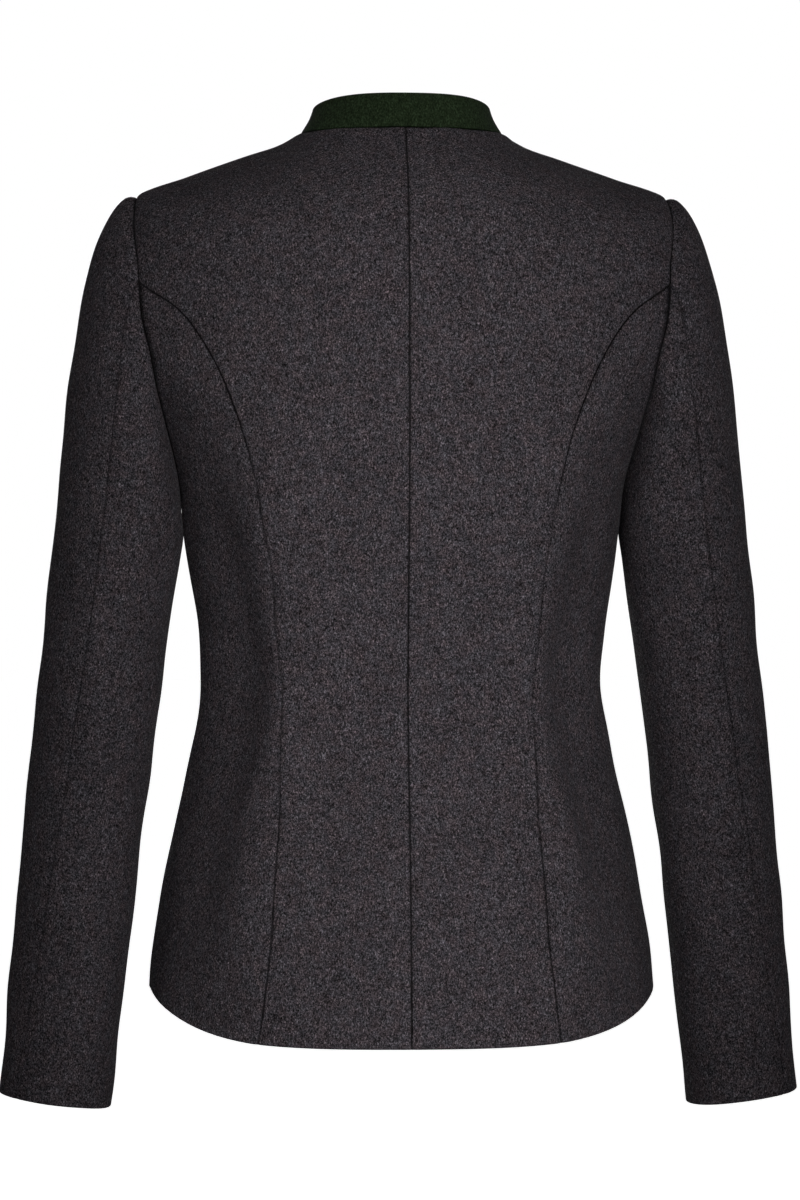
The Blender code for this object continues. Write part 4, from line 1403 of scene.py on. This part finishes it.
class JACKET_OT_buttons(bpy.types.Operator):
    """Make the buttons, their threads and their buttonholes"""

    bl_idname = "jacket.buttons"
    bl_label = "Buttons and buttonholes"

    def execute(self, context):
        thread = shared_material("dark_thread", thread_material)
        disc_model = button_disc(shared_material("dark_horn", horn_material))
        thread_model = button_thread(thread)
        for number in range(1, BUTTON_COUNT + 1):
            z = BUTTON_TOP_Z - BUTTON_SPACING * (number - 1)
            disc = sewn_on(disc_model, f"button_{number}_disc", z)
            sewn = sewn_on(thread_model, f"button_{number}_thread", z)
            hole = buttonhole(f"buttonhole_{number}", z, thread)
            for piece in (disc, sewn, hole):
                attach(piece, "root")
            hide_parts(f"button_{number}")
        bpy.data.objects.remove(disc_model)
        bpy.data.objects.remove(thread_model)
        return {"FINISHED"}


# ------------------------------------------------------------------------ studio
# Each soft light: its place, what it points at, its width and height, the setting its
# power follows and its share of that, and the spread of its beam in degrees.
Light = namedtuple("Light", "name place target width height power share spread")
MIDDLE = (0.0, 0.0, -0.328)
LIGHTS = (
    Light("key", (-0.30, 2.60, -0.33), (-0.005, 0.1, -0.36), 0.34, 1.00, "key", 1.0, 18.5),
    Light("backdrop", (0.0, -2.1, -0.30), MIDDLE, 3.4, 2.6, "fill", 1.0, 180.0),
    Light("front_key", (0.45, -1.6, -0.20), (0.0, -0.1, -0.37), 0.4, 0.8, "key", 0.55, 60.0),
    Light("overhead", (0.35, 0.7, 1.6), (0.0, 0.0, -0.1), 0.8, 0.8, "fill", 0.08, 180.0),
    Light("side_left", (2.2, -0.55, 0.0), MIDDLE, 0.8, 1.4, "fill", 0.36, 180.0),
    Light("side_right", (-2.2, -0.55, 0.0), MIDDLE, 0.8, 1.4, "fill", 0.36, 180.0),
)
CAMERA_ASIDE = 0.00106  # how far the camera's line passes beside the jacket's middle
SENSOR_WIDTH = 36.0
FLOOR_SIZE = 60.0
FLOOR_GREY = (0.9, 0.9, 0.9)
WHITE = (1.0, 1.0, 1.0)


def plain_material(name, colour, emission):
    """An even finish that glows white, for the floor."""
    board = Board(name)
    board.uniform({
        "Base Color": opaque(colour), "Emission Color": opaque(WHITE),
        "Emission Strength": emission,
    })
    return board.material


def soft_light(light, power):
    """An area light that shines on its target and isn't seen by the camera."""
    data = bpy.data.lights.new(light.name, "AREA")
    data.shape = "RECTANGLE"
    data.size = light.width
    data.size_y = light.height
    data.energy = power
    data.spread = math.radians(light.spread)
    made = linked(light.name, data)
    made.location = light.place
    made.visible_camera = False
    toward = Vector(light.target) - Vector(light.place)
    made.rotation_euler = toward.to_track_quat("-Z", "Y").to_euler()


class JACKET_OT_studio(bpy.types.Operator):
    """Make the floor, the lights and the camera"""

    bl_idname = "jacket.studio"
    bl_label = "Studio"

    def execute(self, context):
        scene = context.scene
        studio = scene.studio
        bpy.ops.object.select_all(action="DESELECT")
        bpy.ops.mesh.primitive_plane_add(size=FLOOR_SIZE, location=(0.0, 0.0, studio.floor))
        floor = context.active_object
        floor.name = "floor"
        floor.data.materials.append(plain_material("pale_floor", FLOOR_GREY, 1.0))
        floor.visible_diffuse = False
        floor.visible_glossy = False

        world = bpy.data.worlds.new("pale_room")
        world.use_nodes = True
        background = world.node_tree.nodes["Background"]
        background.inputs["Color"].default_value = opaque(WHITE)
        background.inputs["Strength"].default_value = 1.0
        world.cycles_visibility.diffuse = False
        world.cycles_visibility.glossy = False
        scene.world = world
        scene.view_settings.view_transform = "Standard"
        for light in LIGHTS:
            soft_light(light, getattr(studio, light.power) * light.share)

        data = bpy.data.cameras.new("camera")
        data.sensor_width = SENSOR_WIDTH
        data.lens = SENSOR_WIDTH * studio.distance / studio.framed
        camera = linked("camera", data)
        toward = Vector((math.sin(studio.turn), math.cos(studio.turn), 0.0))
        aside = CAMERA_ASIDE * Vector((toward.y, -toward.x, 0.0))
        raised = Vector((0.0, 0.0, studio.height))
        camera.location = toward * studio.distance + aside + raised
        camera.rotation_euler = (-toward).to_track_quat("-Z", "Y").to_euler()
        scene.camera = camera
        return {"FINISHED"}


class JACKET_PT_panel(bpy.types.Panel):
    """Lists the jacket's pieces and their settings"""

    bl_idname = "JACKET_PT_panel"
    bl_label = "Loden Jacket"
    bl_space_type = "VIEW_3D"
    bl_region_type = "UI"
    bl_category = "Loden Jacket"

    def draw(self, context):
        for operator in OPERATORS:
            self.layout.operator(operator.bl_idname)
        scene = context.scene
        for group in (scene.jacket_colours, scene.jacket_sizes, scene.studio):
            for key in group.__annotations__:
                self.layout.prop(group, key)


OPERATORS = (
    JACKET_OT_body, JACKET_OT_sleeves, JACKET_OT_collar, JACKET_OT_buttons, JACKET_OT_studio,
)
CLASSES = (JacketColours, JacketSizes, StudioSettings) + OPERATORS + (JACKET_PT_panel,)


def register():
    for cls in CLASSES:
        bpy.utils.register_class(cls)
    bpy.types.Scene.jacket_colours = bpy.props.PointerProperty(type=JacketColours)
    bpy.types.Scene.jacket_sizes = bpy.props.PointerProperty(type=JacketSizes)
    bpy.types.Scene.studio = bpy.props.PointerProperty(type=StudioSettings)


def unregister():
    del bpy.types.Scene.studio
    del bpy.types.Scene.jacket_sizes
    del bpy.types.Scene.jacket_colours
    for cls in reversed(CLASSES):
        bpy.utils.unregister_class(cls)


def main():
    register()
    bpy.ops.jacket.body()
    bpy.ops.jacket.sleeves()
    bpy.ops.jacket.collar()
    bpy.ops.jacket.buttons()
    bpy.ops.jacket.studio()


if __name__ == "__main__":
    main()
